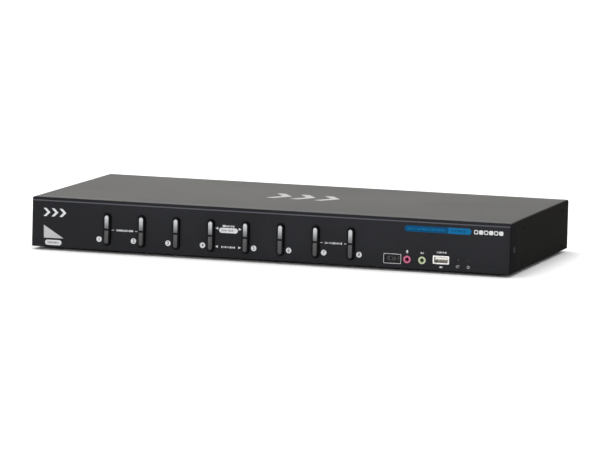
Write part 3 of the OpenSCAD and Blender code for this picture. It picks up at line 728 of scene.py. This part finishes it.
def raised_mesh(loops: Sequence[Loop], place: Matrix, thick: float) -> bpy.types.Mesh:
    """A closed thin solid from flat loops; a loop inside another is a hole.

    Args:
        loops: The loops, in metres.
        place: Where the artwork lies.
        thick: The ink's thickness.

    Returns:
        The mesh.
    """
    curve = bpy.data.curves.new("artwork", "CURVE")
    curve.dimensions = "2D"
    curve.fill_mode = "BOTH"
    curve.extrude = thick / 2
    for loop in loops:
        spline = curve.splines.new("POLY")
        spline.points.add(len(loop) - 1)
        spline.use_cyclic_u = True
        for point, (u, v) in zip(spline.points, loop):
            point.co = (u, v, 0.0, 1.0)
    return curve_mesh(curve, place, thick)


def digit_mesh(text: str, height: float, place: Matrix, thick: float) -> bpy.types.Mesh:
    """A number as a closed thin solid, centred on its place.

    Args:
        text: The number.
        height: The height of its digits.
        place: Where it lies.
        thick: The ink's thickness.

    Returns:
        The mesh.
    """
    curve = bpy.data.curves.new("digit", "FONT")
    curve.body = text
    curve.size = height / 0.72
    curve.align_x = "CENTER"
    curve.align_y = "CENTER"
    curve.offset = 0.012 * height
    curve.extrude = thick / 2
    return curve_mesh(curve, place, thick)


def curve_mesh(curve: bpy.types.Curve, place: Matrix, thick: float) -> bpy.types.Mesh:
    """Turns a flat curve into a mesh whose back lies on the printed face."""
    holder = bpy.data.objects.new("artwork", curve)
    bpy.context.scene.collection.objects.link(holder)
    mesh = bpy.data.meshes.new_from_object(holder)
    bpy.data.objects.remove(holder)
    bpy.data.curves.remove(curve)
    mesh.transform(place @ Matrix.Translation((0, 0, thick / 2)))
    work = bmesh.new()
    work.from_mesh(mesh)
    bmesh.ops.remove_doubles(work, verts=work.verts, dist=1e-7)
    bmesh.ops.recalc_face_normals(work, faces=work.faces)
    work.to_mesh(mesh)
    work.free()
    return mesh


def joined(meshes: Sequence[bpy.types.Mesh]) -> bpy.types.Mesh:
    """Several meshes as one."""
    work = bmesh.new()
    for mesh in meshes:
        work.from_mesh(mesh)
        bpy.data.meshes.remove(mesh)
    whole = bpy.data.meshes.new("joined")
    work.to_mesh(whole)
    work.free()
    return whole


# ---- reading the frame ----------------------------------------------------


@dataclass(frozen=True)
class Box:
    """A box in the object's frame, in metres."""

    low: Vector
    high: Vector

    @property
    def middle(self) -> Vector:
        """The box's middle."""
        return (self.low + self.high) / 2

    @property
    def size(self) -> Vector:
        """The box's size."""
        return self.high - self.low


def node_box(node: str) -> Box:
    """A CAD node's box."""
    low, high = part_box(node)
    return Box(Vector(low), Vector(high))


def islands(piece: bpy.types.Object) -> List[Box]:
    """The box of each separate solid of a node, from left to right."""
    work = bmesh.new()
    work.from_mesh(piece.data)
    bmesh.ops.remove_doubles(work, verts=work.verts, dist=1e-7)
    seen = set()
    boxes: List[Box] = []
    for start in work.verts:
        if start in seen:
            continue
        seen.add(start)
        front, points = [start], []
        while front:
            here = front.pop()
            points.append(here.co.copy())
            for edge in here.link_edges:
                other = edge.other_vert(here)
                if other not in seen:
                    seen.add(other)
                    front.append(other)
        low = Vector([min(p[k] for p in points) for k in range(3)])
        high = Vector([max(p[k] for p in points) for k in range(3)])
        boxes.append(Box(low, high))
    work.free()
    return sorted(boxes, key=lambda box: (round(box.middle.x, 4), box.middle.z))


# ---- sub-assemblies -------------------------------------------------------


@dataclass
class Workshop:
    """The frame and the materials that the sub-assemblies share."""

    frame: Dict[str, object]
    made: Dict[str, bpy.types.Material] = field(default_factory=dict)

    def material(self, finish: object) -> bpy.types.Material:
        """The material of a finish, made once."""
        if finish.name not in self.made:
            self.made[finish.name] = finish.make()
        return self.made[finish.name]

    def dress(self, finish: object, *nodes: str) -> None:
        """Gives CAD nodes a finish."""
        material = self.material(finish)
        for node in nodes:
            mesh = self.frame["nodes"][node].data
            mesh.materials.clear()
            mesh.materials.append(material)
            log.info("%s: finish %s", node, finish.name)

    def nodes(self, start: str) -> List[str]:
        """The names of the nodes that start with some letters."""
        return sorted(name for name in self.frame["nodes"] if name.startswith(start))


# The bezel keeps 0.4 of its colour on its left and right faces: painted shade.
BEZEL_PAINT = Paint("bezel_paint", (0.0145, 0.0148, 0.0172), 0.58, grain=0.35 * MM,
                    depth=0.002 * MM, gloss=0.05, ends_shade=0.4)
COVER_PAINT = Paint("cover_paint", (0.0088, 0.0086, 0.0078), 0.58, grain=0.55 * MM,
                    depth=0.006 * MM, gloss=0.05)
PANEL_PAINT = replace(COVER_PAINT, name="panel_paint")
SCREW_BLACK = Plastic("screw_black", (0.009, 0.009, 0.009), 0.6, grain=0.12 * MM, gloss=0.12)
ZINC = Metal("zinc_plate", (0.62, 0.63, 0.66), 0.34)
NICKEL = Metal("bright_nickel", (0.78, 0.77, 0.75), 0.2)
BARE_ALUMINIUM = Metal("drawn_aluminium", (0.7, 0.71, 0.73), 0.38, lines=(14.0, 14.0, 1.0))
GOLD = Metal("gold_flash", (0.85, 0.62, 0.25), 0.24)
BLACK_PLASTIC = Plastic("black_plastic", (0.012, 0.012, 0.012), 0.42)
BUTTON_BLACK = Plastic("button_black", (0.003, 0.003, 0.0033), 0.4, edge=0.2 * MM, gloss=0.08)
IVORY_PLASTIC = Plastic("ivory_plastic", (0.72, 0.7, 0.64), 0.4)
JACK_PINK = Plastic("jack_pink", (0.4, 0.065, 0.15), 0.35, coat=0.2)
JACK_GREEN = Plastic("jack_green", (0.34, 0.4, 0.24), 0.35, coat=0.2)
CHIP_RESIN = Plastic("chip_resin", (0.015, 0.015, 0.016), 0.55)
CLEAR_RESIN = Plastic("clear_resin", (0.75, 0.78, 0.8), 0.15, coat=0.6)
POWER_LENS = Plastic("power_lens", (0.005, 0.0055, 0.008), 0.3, coat=0.15, gloss=0.2)
FOOT_RUBBER = Rubber("foot_rubber")
GREEN_MASK = BoardMask("green_mask", (0.008, 0.075, 0.03))
TAN_LAMINATE = BoardMask("tan_laminate", (0.18, 0.11, 0.035), pitch=6.0 * MM)
GREY_RIBBON = Striped("grey_ribbon", (0.4, 0.41, 0.43), (0.3, 0.3, 0.31), 1.27 * MM, 0)
YELLOW_TAPE = Striped("yellow_tape", (0.7, 0.5, 0.05), (0.5, 0.35, 0.04), 2.4 * MM, 2)
CAN_SLEEVE = Striped("can_sleeve", (0.01, 0.014, 0.05), (0.3, 0.31, 0.33), 9.0 * MM, 2)
WHITE_INK = Ink("white_ink", (0.52, 0.525, 0.53))
PALE_INK = Ink("pale_ink", (0.36, 0.36, 0.37))
GREY_INK = Ink("grey_ink", (0.12, 0.122, 0.125))
DARK_INK = Ink("dark_ink", (0.02, 0.02, 0.024))
BLUE_INK = Ink("blue_ink", (0.0015, 0.052, 0.13), 0.6, 0.05)
LIGHT_BLUE_INK = Ink("light_blue_ink", (0.004, 0.105, 0.25), 0.6, 0.05)


@dataclass
class Case:
    """Sheet metal, bezel, feet and fasteners. The heights of the bezel's painted highlight run down from the
    bezel's top.
    """

    shop: Workshop
    ridge_low: float = 3.4 * MM
    ridge_high: float = 2.45 * MM

    def build(self) -> None:
        """Dresses the case's pieces."""
        top = node_box("front_bezel").high.z
        # Heights between which the bezel's colour is made paler: a painted highlight.
        ridge_highlight = (top - self.ridge_low, top - self.ridge_high)
        self.shop.dress(replace(BEZEL_PAINT, ridge_highlight=ridge_highlight), "front_bezel")
        self.shop.dress(COVER_PAINT, "top_cover", "chassis_tray")
        self.shop.dress(PANEL_PAINT, "rear_panel")
        self.shop.dress(FOOT_RUBBER, "rubber_feet")
        self.shop.dress(SCREW_BLACK, "bezel_screws", "case_screws")
        self.shop.dress(ZINC, "rack_nuts", "board_spacers", "board_screws", "dvi_jackscrews")


@dataclass
class Electronics:
    """The boards and what stands on them."""

    shop: Workshop

    def build(self) -> None:
        """Dresses the boards and their parts."""
        self.shop.dress(GREEN_MASK, "main_board", "video_board", "front_board", "front_io_board")
        self.shop.dress(TAN_LAMINATE, "supply_board")
        self.shop.dress(CHIP_RESIN, "switch_chips", "tact_switches")
        self.shop.dress(BARE_ALUMINIUM, "chip_heatsinks", "supply_heatsink")
        self.shop.dress(CLEAR_RESIN, "port_leds")
        self.shop.dress(GREY_RIBBON, "ribbon_cable")
        self.shop.dress(YELLOW_TAPE, "supply_transformer")
        self.shop.dress(CAN_SLEEVE, "supply_capacitors")


@dataclass
class Buttons:
    """Port buttons with their light windows, the reset button and the recovery slider."""

    shop: Workshop

    def build(self) -> None:
        """Dresses the buttons and windows."""
        caps = self.shop.nodes("port_button_")
        box = node_box(caps[0])
        window = LightWindow("light_window", box.middle.z, 0.42 * box.size.z)
        self.shop.dress(BUTTON_BLACK, *caps)
        self.shop.dress(window, *self.shop.nodes("port_lens_"))
        self.shop.dress(BLACK_PLASTIC, "reset_button", "recovery_slider", "recovery_switch")
        self.shop.dress(POWER_LENS, "power_lens")


@dataclass
class Sockets:
    """Jacks, USB sockets, video sockets and the power entry."""

    shop: Workshop
    contact: float = 1.0 * MM
    contact_pitch: float = 1.91 * MM
    contact_depth: float = 3.0 * MM
    face_width: float = 24.5 * MM
    lower_width: float = 22.1 * MM
    face_height: float = 7.9 * MM
    straight: float = 3.0 * MM
    block_depth: float = 16.0 * MM

    def build(self) -> None:
        """Dresses the sockets and adds their contacts."""
        self.shop.dress(NICKEL, "dvi_shells", "usb_b_shells", "rear_usb_shell", "front_usb_shell",
                        "inlet_pins")
        self.shop.dress(IVORY_PLASTIC, "usb_b_cores", "rear_usb_tongues", "front_usb_tongue")
        self.shop.dress(JACK_PINK, "rear_mic_jacks", "front_mic_jack")
        self.shop.dress(JACK_GREEN, "rear_speaker_jacks", "front_speaker_jack")
        self.shop.dress(BLACK_PLASTIC, "power_inlet", "rocker_housing", "power_rocker")
        self._video_inserts()
        self._usb_contacts()

    def _video_inserts(self) -> None:
        """Swaps the plain video inserts for ones with their contact holes."""
        boxes = islands(self.shop.frame["nodes"]["dvi_inserts"])
        material = self.shop.material(IVORY_PLASTIC)
        shape = self._insert_mesh(boxes[0])
        copies = []
        for box in boxes:
            copy = shape.copy()
            copy.transform(Matrix.Translation((box.middle.x, 0, 0)))
            copies.append(copy)
        bpy.data.meshes.remove(shape)
        piece = link("video_inserts", joined(copies), material)
        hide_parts("dvi_inserts")

    def _insert_mesh(self, box: Box) -> bpy.types.Mesh:
        """One insert about x = 0: a block on the board and a tapered face with its holes.

        Args:
            box: The CAD insert's box.

        Returns:
            The mesh.
        """
        middle = box.low.z + 7.5 * MM
        top, low, high = self.face_width / 2, self.lower_width / 2, self.face_height / 2
        face = [(-top, high), (-top, high - self.straight), (-low, -high), (low, -high),
                (top, high - self.straight), (top, high)]
        work = bmesh.new()
        front, back = box.high.y, box.low.y + self.block_depth
        rings = [[work.verts.new((x, y, middle + z)) for x, z in face] for y in (back, front)]
        for k in range(len(face)):
            step = (k + 1) % len(face)
            work.faces.new((rings[0][k], rings[0][step], rings[1][step], rings[1][k]))
        work.faces.new(rings[0])
        work.faces.new(rings[1])
        half, block_top = 14.0 * MM, box.high.z
        block = bmesh.ops.create_cube(work, size=1.0)["verts"]
        size = Vector((2 * half, self.block_depth, block_top - box.low.z))
        where = Vector((0, (box.low.y + back) / 2, (block_top + box.low.z) / 2))
        placed = Matrix.Translation(where) @ Matrix.Diagonal((*size, 1))
        bmesh.ops.transform(work, verts=block, matrix=placed)
        bmesh.ops.recalc_face_normals(work, faces=work.faces)
        body = bpy.data.meshes.new("insert")
        work.to_mesh(body)
        work.free()
        return self._drilled(body, middle, front)

    def _drilled(self, body: bpy.types.Mesh, middle: float, front: float) -> bpy.types.Mesh:
        """Cuts the contact holes into one insert."""
        work = bmesh.new()
        spots = [(-8.6 * MM + k * self.contact_pitch, row * self.contact_pitch)
                 for k in range(8) for row in (-1, 0, 1)]
        cross = 9.2 * MM
        sizes = [(u, v, self.contact, self.contact) for u, v in spots]
        sizes += [(cross + s * 1.4 * MM, t * 1.3 * MM, 0.8 * MM, 0.8 * MM) for s in (-1, 1) for t in (-1, 1)]
        sizes += [(cross, 0.0, 3.6 * MM, 0.55 * MM)]
        for u, v, wide, tall in sizes:
            made = bmesh.ops.create_cube(work, size=1.0)["verts"]
            size = Matrix.Diagonal((wide, 2 * self.contact_depth, tall, 1))
            bmesh.ops.transform(work, verts=made, matrix=Matrix.Translation((-u, front, middle + v)) @ size)
        cutter_mesh = bpy.data.meshes.new("contact_holes")
        work.to_mesh(cutter_mesh)
        work.free()
        scene = bpy.context.scene.collection
        cutter = bpy.data.objects.new("contact_holes", cutter_mesh)
        blank = bpy.data.objects.new("insert", body)
        scene.objects.link(cutter)
        scene.objects.link(blank)
        cut = blank.modifiers.new("cut", "BOOLEAN")
        cut.object = cutter
        cut.operation = "DIFFERENCE"
        cut.solver = "EXACT"
        graph = bpy.context.evaluated_depsgraph_get()
        result = bpy.data.meshes.new_from_object(blank.evaluated_get(graph))
        for piece, mesh in ((cutter, cutter_mesh), (blank, body)):
            bpy.data.objects.remove(piece)
            bpy.data.meshes.remove(mesh)
        return result

    def _usb_contacts(self) -> None:
        """Adds four sprung contacts under each flat USB tongue."""
        work = bmesh.new()
        for node, way in (("front_usb_tongue", -1), ("rear_usb_tongues", 1)):
            for box in islands(self.shop.frame["nodes"][node]):
                under = box.middle.z + 0.15 * MM
                start = box.low.y if way < 0 else box.high.y
                for k in range(4):
                    x = box.middle.x + (k - 1.5) * 2.3 * MM
                    made = bmesh.ops.create_cube(work, size=1.0)["verts"]
                    where = Matrix.Translation((x, start - way * 5.0 * MM, under - 0.1 * MM))
                    bmesh.ops.transform(work, verts=made,
                                        matrix=where @ Matrix.Diagonal((1.0 * MM, 7.0 * MM, 0.2 * MM, 1)))
        mesh = bpy.data.meshes.new("usb_contacts")
        work.to_mesh(mesh)
        work.free()
        link("usb_contacts", mesh, self.shop.material(GOLD))


@dataclass
class Printing:
    """Everything printed on the case. Distances run from the case's middle and bottom."""

    shop: Workshop
    ink: float = 0.03 * MM
    disc: float = 2.45 * MM
    disc_aside: float = 7.5 * MM
    disc_high: float = 9.5 * MM
    digit: float = 3.1 * MM

    def __post_init__(self) -> None:
        """Reads where the printed faces are."""
        bezel, cover = node_box("front_bezel"), node_box("top_cover")
        self.front = bezel.low.y
        self.bottom = bezel.low.z
        self.top = cover.high.z
        self.right = bezel.high.x
        self.back = node_box("rear_panel").high.y
        self.buttons = [node_box(name).middle.x for name in self.shop.nodes("port_button_")]

    def build(self) -> None:
        """Prints the front, the top and the back."""
        self._port_numbers()
        self._front_legends()
        self._badge()
        self._emblems()
        self._back_legends()

    def _print(self, name: str, finish: Ink, loops: Sequence[Loop], side: Side = Side.FRONT,
               layer: int = 0) -> None:
        """Prints loops on a side.

        Args:
            name: The piece's name.
            finish: The ink.
            loops: The artwork, in metres from the case's middle and bottom.
            side: The side that it is on.
            layer: How many layers of ink it lies on.
        """
        level, rise = self._level(side)
        lift = layer * self.ink * (-1 if side is Side.FRONT else 1)
        place = side.placed(0.0, rise, level + lift)
        mesh = raised_mesh(loops, place, self.ink)
        link(name, mesh, self.shop.material(finish))

    def _level(self, side: Side) -> Tuple[float, float]:
        """A side's own place, and the height of its artwork's zero."""
        if side is Side.FRONT:
            return self.front, self.bottom
        if side is Side.BACK:
            return self.back, self.bottom
        return self.top, 0.0

    @staticmethod
    def _slot(side: Side) -> str:
        """The record's slot of the paint under the ink."""
        return {Side.FRONT: "bezel_paint", Side.TOP: "cover_paint", Side.BACK: "panel_paint"}[side]

    def _port_numbers(self) -> None:
        """A white disc with a number beside each button."""
        half = len(self.buttons) // 2
        spots = [x + (-self.disc_aside if k < half else self.disc_aside) for k, x in enumerate(self.buttons)]
        self._print("port_discs", WHITE_INK, [circle(x, self.disc_high, self.disc) for x in spots])
        digits = []
        for k, x in enumerate(spots):
            place = Side.FRONT.placed(x, self.bottom + self.disc_high, self.front - self.ink)
            digits.append(digit_mesh(str(k + 1), self.digit, place, self.ink))
        link("port_digits", joined(digits), self.shop.material(DARK_INK))

    def _front_legends(self) -> None:
        """Ticks, arrows and signs round the buttons and sockets."""
        loops: List[Loop] = []
        for left, seed in ((0, 3), (6, 8)):
            mid = (self.buttons[left] + self.buttons[left + 1]) / 2
            loops += ticks(mid, 18.2 * MM, 16.0 * MM, 1.8 * MM, 13, seed)
            loops += [bar(mid + s * 10.9 * MM, 18.2 * MM, 2.2 * MM, 0.45 * MM) for s in (-1, 1)]
        mid = (self.buttons[3] + self.buttons[4]) / 2
        loops += ticks(mid, 27.6 * MM, 11.0 * MM, 1.9 * MM, 9, 5)
        loops += ticks(mid, 9.1 * MM, 13.0 * MM, 1.8 * MM, 11, 11)
        loops.append(bar(mid, 23.8 * MM, 17.0 * MM, 4.4 * MM, 2.19 * MM))
        for high in (25.4 * MM, 9.2 * MM):
            for way in (-1, 1):
                loops += arrow(mid + way * 10.6 * MM, high, 2.4 * MM, way)
        self._print("front_legends", WHITE_INK, loops)
        row = ticks(mid, 23.8 * MM, 13.0 * MM, 1.9 * MM, 11, 17)
        self._print("front_pill_ticks", GREY_INK, row, layer=1)
        self._print("socket_signs", WHITE_INK, self._socket_signs())

    def _socket_signs(self) -> List[Loop]:
        """The signs by the sockets, the reset button and the power light."""
        slider = node_box("recovery_switch").middle.x
        mic, speaker = node_box("front_mic_jack").middle.x, node_box("front_speaker_jack").middle.x
        usb = node_box("front_usb_shell").middle.x
        reset, power = node_box("reset_button").middle.x, node_box("power_lens").middle.x
        wide, tall, rail = 15.8 * MM, 8.6 * MM, 0.35 * MM
        loops = [bar(slider, 7.9 * MM, wide, tall, 0.7 * MM),
                 bar(slider, 7.9 * MM, wide - 2 * rail, tall - 2 * rail, 0.5 * MM)]
        loops += microphone(mic, 14.5 * MM, 3.2 * MM)
        loops += loudspeaker(speaker, 14.2 * MM, 3.0 * MM)
        loops += ticks(usb + 0.4 * MM, 15.7 * MM, 8.8 * MM, 1.6 * MM, 8, 23)
        loops += plug_sign(usb + 0.6 * MM, 2.9 * MM, 3.2 * MM)
        loops += reset_sign(reset, 4.2 * MM, 2.9 * MM)
        loops += power_sign(power, 4.2 * MM, 2.9 * MM)
        return loops

    def _badge(self) -> None:
        """A plain bar in two blues, with a row of plain shapes after it."""
        low, high = 32.5 * MM, 37.9 * MM
        left, split, right = self.right - 95.1 * MM, self.right - 55.9 * MM, self.right - 35.2 * MM
        mid, tall = (low + high) / 2, high - low
        start_end = circle(left + tall / 2, mid, tall / 2, 36)
        self._print("badge_dark", BLUE_INK, [[(split, low), (split, high), *start_end[9:28]]])
        round_end = circle(right - tall / 2, mid, tall / 2, 36)
        nose = [(split, low), *round_end[27:], *round_end[:10], (split, high)]
        self._print("badge_light", LIGHT_BLUE_INK, [nose])
        row = ticks((left + split) / 2, mid, 34.0 * MM, 2.3 * MM, 22, 29)
        self._print("badge_ticks", LIGHT_BLUE_INK, row, layer=1)
        row = ticks((split + right) / 2 - 0.8 * MM, mid, 14.0 * MM, 2.3 * MM, 9, 31)
        self._print("badge_end_ticks", BLUE_INK, row, layer=1)
        start, size = self.right - 33.2 * MM, 4.3 * MM
        shapes: List[Loop] = []
        for k in range(6):
            u = start + (k + 0.5) * (size + 0.15 * MM)
            shapes.append(bar(u, mid, size - 0.5 * MM, size - 0.6 * MM, 1.1 * MM))
            if k % 2 == 0:
                shapes.append(bar(u, mid, size - 2.0 * MM, size - 2.2 * MM, 0.4 * MM))
        self._print("badge_shapes", WHITE_INK, shapes)

    def _emblems(self) -> None:
        """Three chevrons on the top, and smaller ones over a triangle at the front's left."""
        left = -self.right
        chevrons = self._chevrons(left + 11.2 * MM, 30.8 * MM, 6.4 * MM, 7.2 * MM)
        wedge = [(left + 12.0 * MM, 7.9 * MM), (left + 30.2 * MM, 8.1 * MM), (left + 11.6 * MM, 19.4 * MM)]
        pill = bar(left + 20.8 * MM, 4.0 * MM, 15.3 * MM, 4.6 * MM, 2.29 * MM)
        self._print("front_emblem", WHITE_INK, [*chevrons, pill])
        self._print("front_wedge", PALE_INK, [wedge])
        row = ticks(left + 20.8 * MM, 4.0 * MM, 11.0 * MM, 1.8 * MM, 8, 37)
        self._print("front_emblem_ticks", GREY_INK, row, layer=1)
        cover = node_box("top_cover")
        wide = self._chevrons(-31.5 * MM, cover.low.y + 96.0 * MM, 19.3 * MM, 38.0 * MM)
        self._print("top_emblem", GREY_INK, wide, Side.TOP)

    @staticmethod
    def _chevrons(left: float, mid: float, run: float, rise: float) -> List[Loop]:
        """Three chevrons that point right.

        Args:
            left: Where the first one starts.
            mid: The height of their points.
            run: The length of each.
            rise: The height of each.

        Returns:
            Their loops.
        """
        loops: List[Loop] = []
        for k in range(3):
            u = left + 1.16 * k * run
            loops.append([(u, mid - rise / 2), (u + 0.42 * run, mid - rise / 2), (u + run, mid),
                          (u + 0.42 * run, mid + rise / 2), (u, mid + rise / 2), (u + 0.56 * run, mid)])
        return loops

    def _back_legends(self) -> None:
        """Numbers over the video sockets, and signs by the jacks and the desk's own socket."""
        bays = islands(self.shop.frame["nodes"]["dvi_shells"])
        jacks = islands(self.shop.frame["nodes"]["rear_mic_jacks"])
        speakers = islands(self.shop.frame["nodes"]["rear_speaker_jacks"])
        place = node_box("dvi_shells")
        row = place.high.z - self.bottom - 1.0 * MM
        digits = []
        for k, bay in enumerate(bays[:-1]):
            spot = Side.BACK.placed(-(bay.middle.x + 16.9 * MM), self.bottom + row - 12.6 * MM, self.back)
            digits.append(digit_mesh(str(k + 1), 2.8 * MM, spot, self.ink))
        link("rear_digits", joined(digits), self.shop.material(WHITE_INK))
        loops: List[Loop] = []
        for mic, speaker in zip(jacks, speakers):
            loops += microphone(-mic.middle.x, 5.4 * MM, 2.6 * MM)
            loops += loudspeaker(-speaker.middle.x, 5.4 * MM, 2.4 * MM)
        loops += screen_sign(-(bays[-1].middle.x + 8.0 * MM), 12.0 * MM, 6.5 * MM)
        self._print("rear_signs", WHITE_INK, loops, Side.BACK)


@dataclass
class RockerMarks:
    """The on and off marks on the power switch."""

    shop: Workshop
    size: float = 2.6 * MM
    ink: float = 0.03 * MM

    def build(self) -> None:
        """Prints a bar on one half of the rocker and a ring on the other."""
        mesh = self.shop.frame["nodes"]["power_rocker"].data
        outer = [p for p in mesh.polygons if p.normal.y > 0.8]
        axis = self._axis()
        shapes = {1: [bar(0, 0, 0.4 * MM, self.size)],
                  -1: [circle(0, 0, self.size / 2), circle(0, 0, self.size / 2 - 0.35 * MM)]}
        parts = []
        for half, loops in shapes.items():
            near = [p for p in outer if (p.center.z - axis.z) * half > 0]
            best = max(near, key=lambda p: p.area)
            faces = [p for p in near if abs((p.center - best.center).dot(best.normal)) < 0.05 * MM]
            area = sum(p.area for p in faces)
            middle = sum((p.center * p.area for p in faces), Vector()) / area
            normal = sum((p.normal * p.area for p in faces), Vector()).normalized()
            turn = normal.to_track_quat("Z", "Y").to_matrix().to_4x4()
            parts.append(raised_mesh(loops, Matrix.Translation(middle) @ turn, self.ink))
        link("rocker_marks", joined(parts), self.shop.material(WHITE_INK), body="rocker")

    def _axis(self) -> Vector:
        """A point on the rocker's axis."""
        joints = self.shop.frame["record"]["behaviour"]["joints"]
        return Vector(next(j for j in joints if j["child"] == "rocker")["pos_m"])


# ---- studio ---------------------------------------------------------------


@dataclass(frozen=True)
class SoftBox:
    """A rectangular light that faces the object."""

    name: str
    place: Tuple[float, float, float]
    size: Tuple[float, float]
    power: float
    colour: Colour = (1.0, 1.0, 1.0)

    def build(self, target: Vector) -> None:
        """Adds the light, aimed at a point."""
        data = bpy.data.lights.new(self.name, "AREA")
        data.shape = "RECTANGLE"
        data.size, data.size_y = self.size
        data.energy = self.power
        data.color = self.colour
        lamp = bpy.data.objects.new(self.name, data)
        lamp.location = self.place
        lamp.visible_camera = False
        lamp.rotation_euler = (target - Vector(self.place)).to_track_quat("-Z", "Y").to_euler()
        bpy.context.scene.collection.objects.link(lamp)


@dataclass
class Studio:
    """The floor, the lights and the camera."""

    azimuth: float = 15.976
    elevation: float = 6.518
    roll: float = 1.503
    lens: float = 306.2
    distance: float = 4.5683
    aim: Tuple[float, float, float] = (-1.75 * MM, -0.95 * MM, -2.31 * MM)
    floor_reach: float = 16.0
    hole: Tuple[float, float] = (0.38, 0.15)
    overhead: float = 1.45
    horizon: float = 0.14
    below: float = 4.0

    def build(self) -> None:
        """Builds the studio round the case."""
        bezel, cover = node_box("front_bezel"), node_box("top_cover")
        centre = Vector(((bezel.low.x + bezel.high.x) / 2, (bezel.low.y + cover.high.y) / 2,
                         (bezel.low.z + bezel.high.z) / 2))
        self._floor()
        self._sky()
        for light in (SoftBox("key", (-0.5, 0.25, 2.6), (2.2, 1.6), 30.0),
                      SoftBox("back", (-1.3, 3.1, 0.9), (2.4, 1.1), 40.0, (1.0, 0.985, 0.945))):
            light.build(centre)
        strip = centre + Vector((0, -0.45, 0.06))
        SoftBox("strip", tuple(strip), (1.1, 0.06), 1.2).build(centre)
        self._camera(centre)
        bpy.context.scene.view_settings.view_transform = "Standard"

    def _floor(self) -> None:
        """A wide, pale floor. It is open under the case, so that light reaches the underside."""
        work = bmesh.new()
        rings = []
        for half_x, half_y in ((self.hole[0] / 2, self.hole[1] / 2), (self.floor_reach, self.floor_reach)):
            rings.append([work.verts.new((u * half_x, v * half_y, 0.0))
                          for u, v in ((-1, -1), (1, -1), (1, 1), (-1, 1))])
        for k in range(4):
            step = (k + 1) % 4
            work.faces.new((rings[1][k], rings[1][step], rings[0][step], rings[0][k]))
        mesh = bpy.data.meshes.new("floor")
        work.to_mesh(mesh)
        work.free()
        mesh.materials.append(Backdrop("pale_floor", (0.93, 0.93, 0.93)).make())
        floor = bpy.data.objects.new("floor", mesh)
        bpy.context.scene.collection.objects.link(floor)

    def _sky(self) -> None:
        """White light from overhead that fades towards the horizon, and more from under the floor."""
        nodes = Nodes("studio", bpy.data.worlds)
        bpy.context.scene.world = nodes.block
        way = nodes.add("ShaderNodeTexCoord").outputs["Generated"]
        lift = nodes.add("ShaderNodeSeparateXYZ", {}, {0: way}).outputs[2]
        rise = nodes.add("ShaderNodeMapRange", {"interpolation_type": "SMOOTHSTEP"},
                         {"Value": lift, "From Min": 0.05, "From Max": 0.75,
                          "To Min": self.horizon, "To Max": self.overhead})
        sink = nodes.add("ShaderNodeMapRange", {},
                         {"Value": lift, "From Min": -0.1, "From Max": -0.4, "To Max": self.below})
        strength = Value(nodes, rise.outputs[0]) + Value(nodes, sink.outputs[0])
        light = nodes.add("ShaderNodeBackground", {}, {"Strength": strength})
        nodes.add("ShaderNodeOutputWorld", {}, {"Surface": light.outputs[0]})

    def _camera(self, centre: Vector) -> None:
        """Sets the camera up and to the right of the front."""
        turn, lift = math.radians(self.azimuth), math.radians(self.elevation)
        back = Vector((math.sin(turn) * math.cos(lift), -math.cos(turn) * math.cos(lift), math.sin(lift)))
        data = bpy.data.cameras.new("camera")
        data.lens = self.lens
        data.sensor_width = 36.0
        data.clip_start, data.clip_end = 0.1, 100.0
        camera = bpy.data.objects.new("camera", data)
        facing = (-back).to_track_quat("-Z", "Y").to_matrix().to_4x4()
        place = centre + Vector(self.aim) + back * self.distance
        tilt = Matrix.Rotation(math.radians(self.roll), 4, "Z")
        camera.matrix_world = Matrix.Translation(place) @ facing @ tilt
        bpy.context.scene.collection.objects.link(camera)
        bpy.context.scene.camera = camera


def main() -> None:
    """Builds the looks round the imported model."""
    logging.basicConfig(level=logging.INFO, format="%(name)s: %(message)s")
    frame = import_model()
    shop = Workshop(frame)
    for part in (Case, Electronics, Buttons, Sockets, Printing, RockerMarks):
        part(shop).build()
        log.info("%s done", part.__name__)
    Studio().build()


if __name__ == "__main__":
    main()
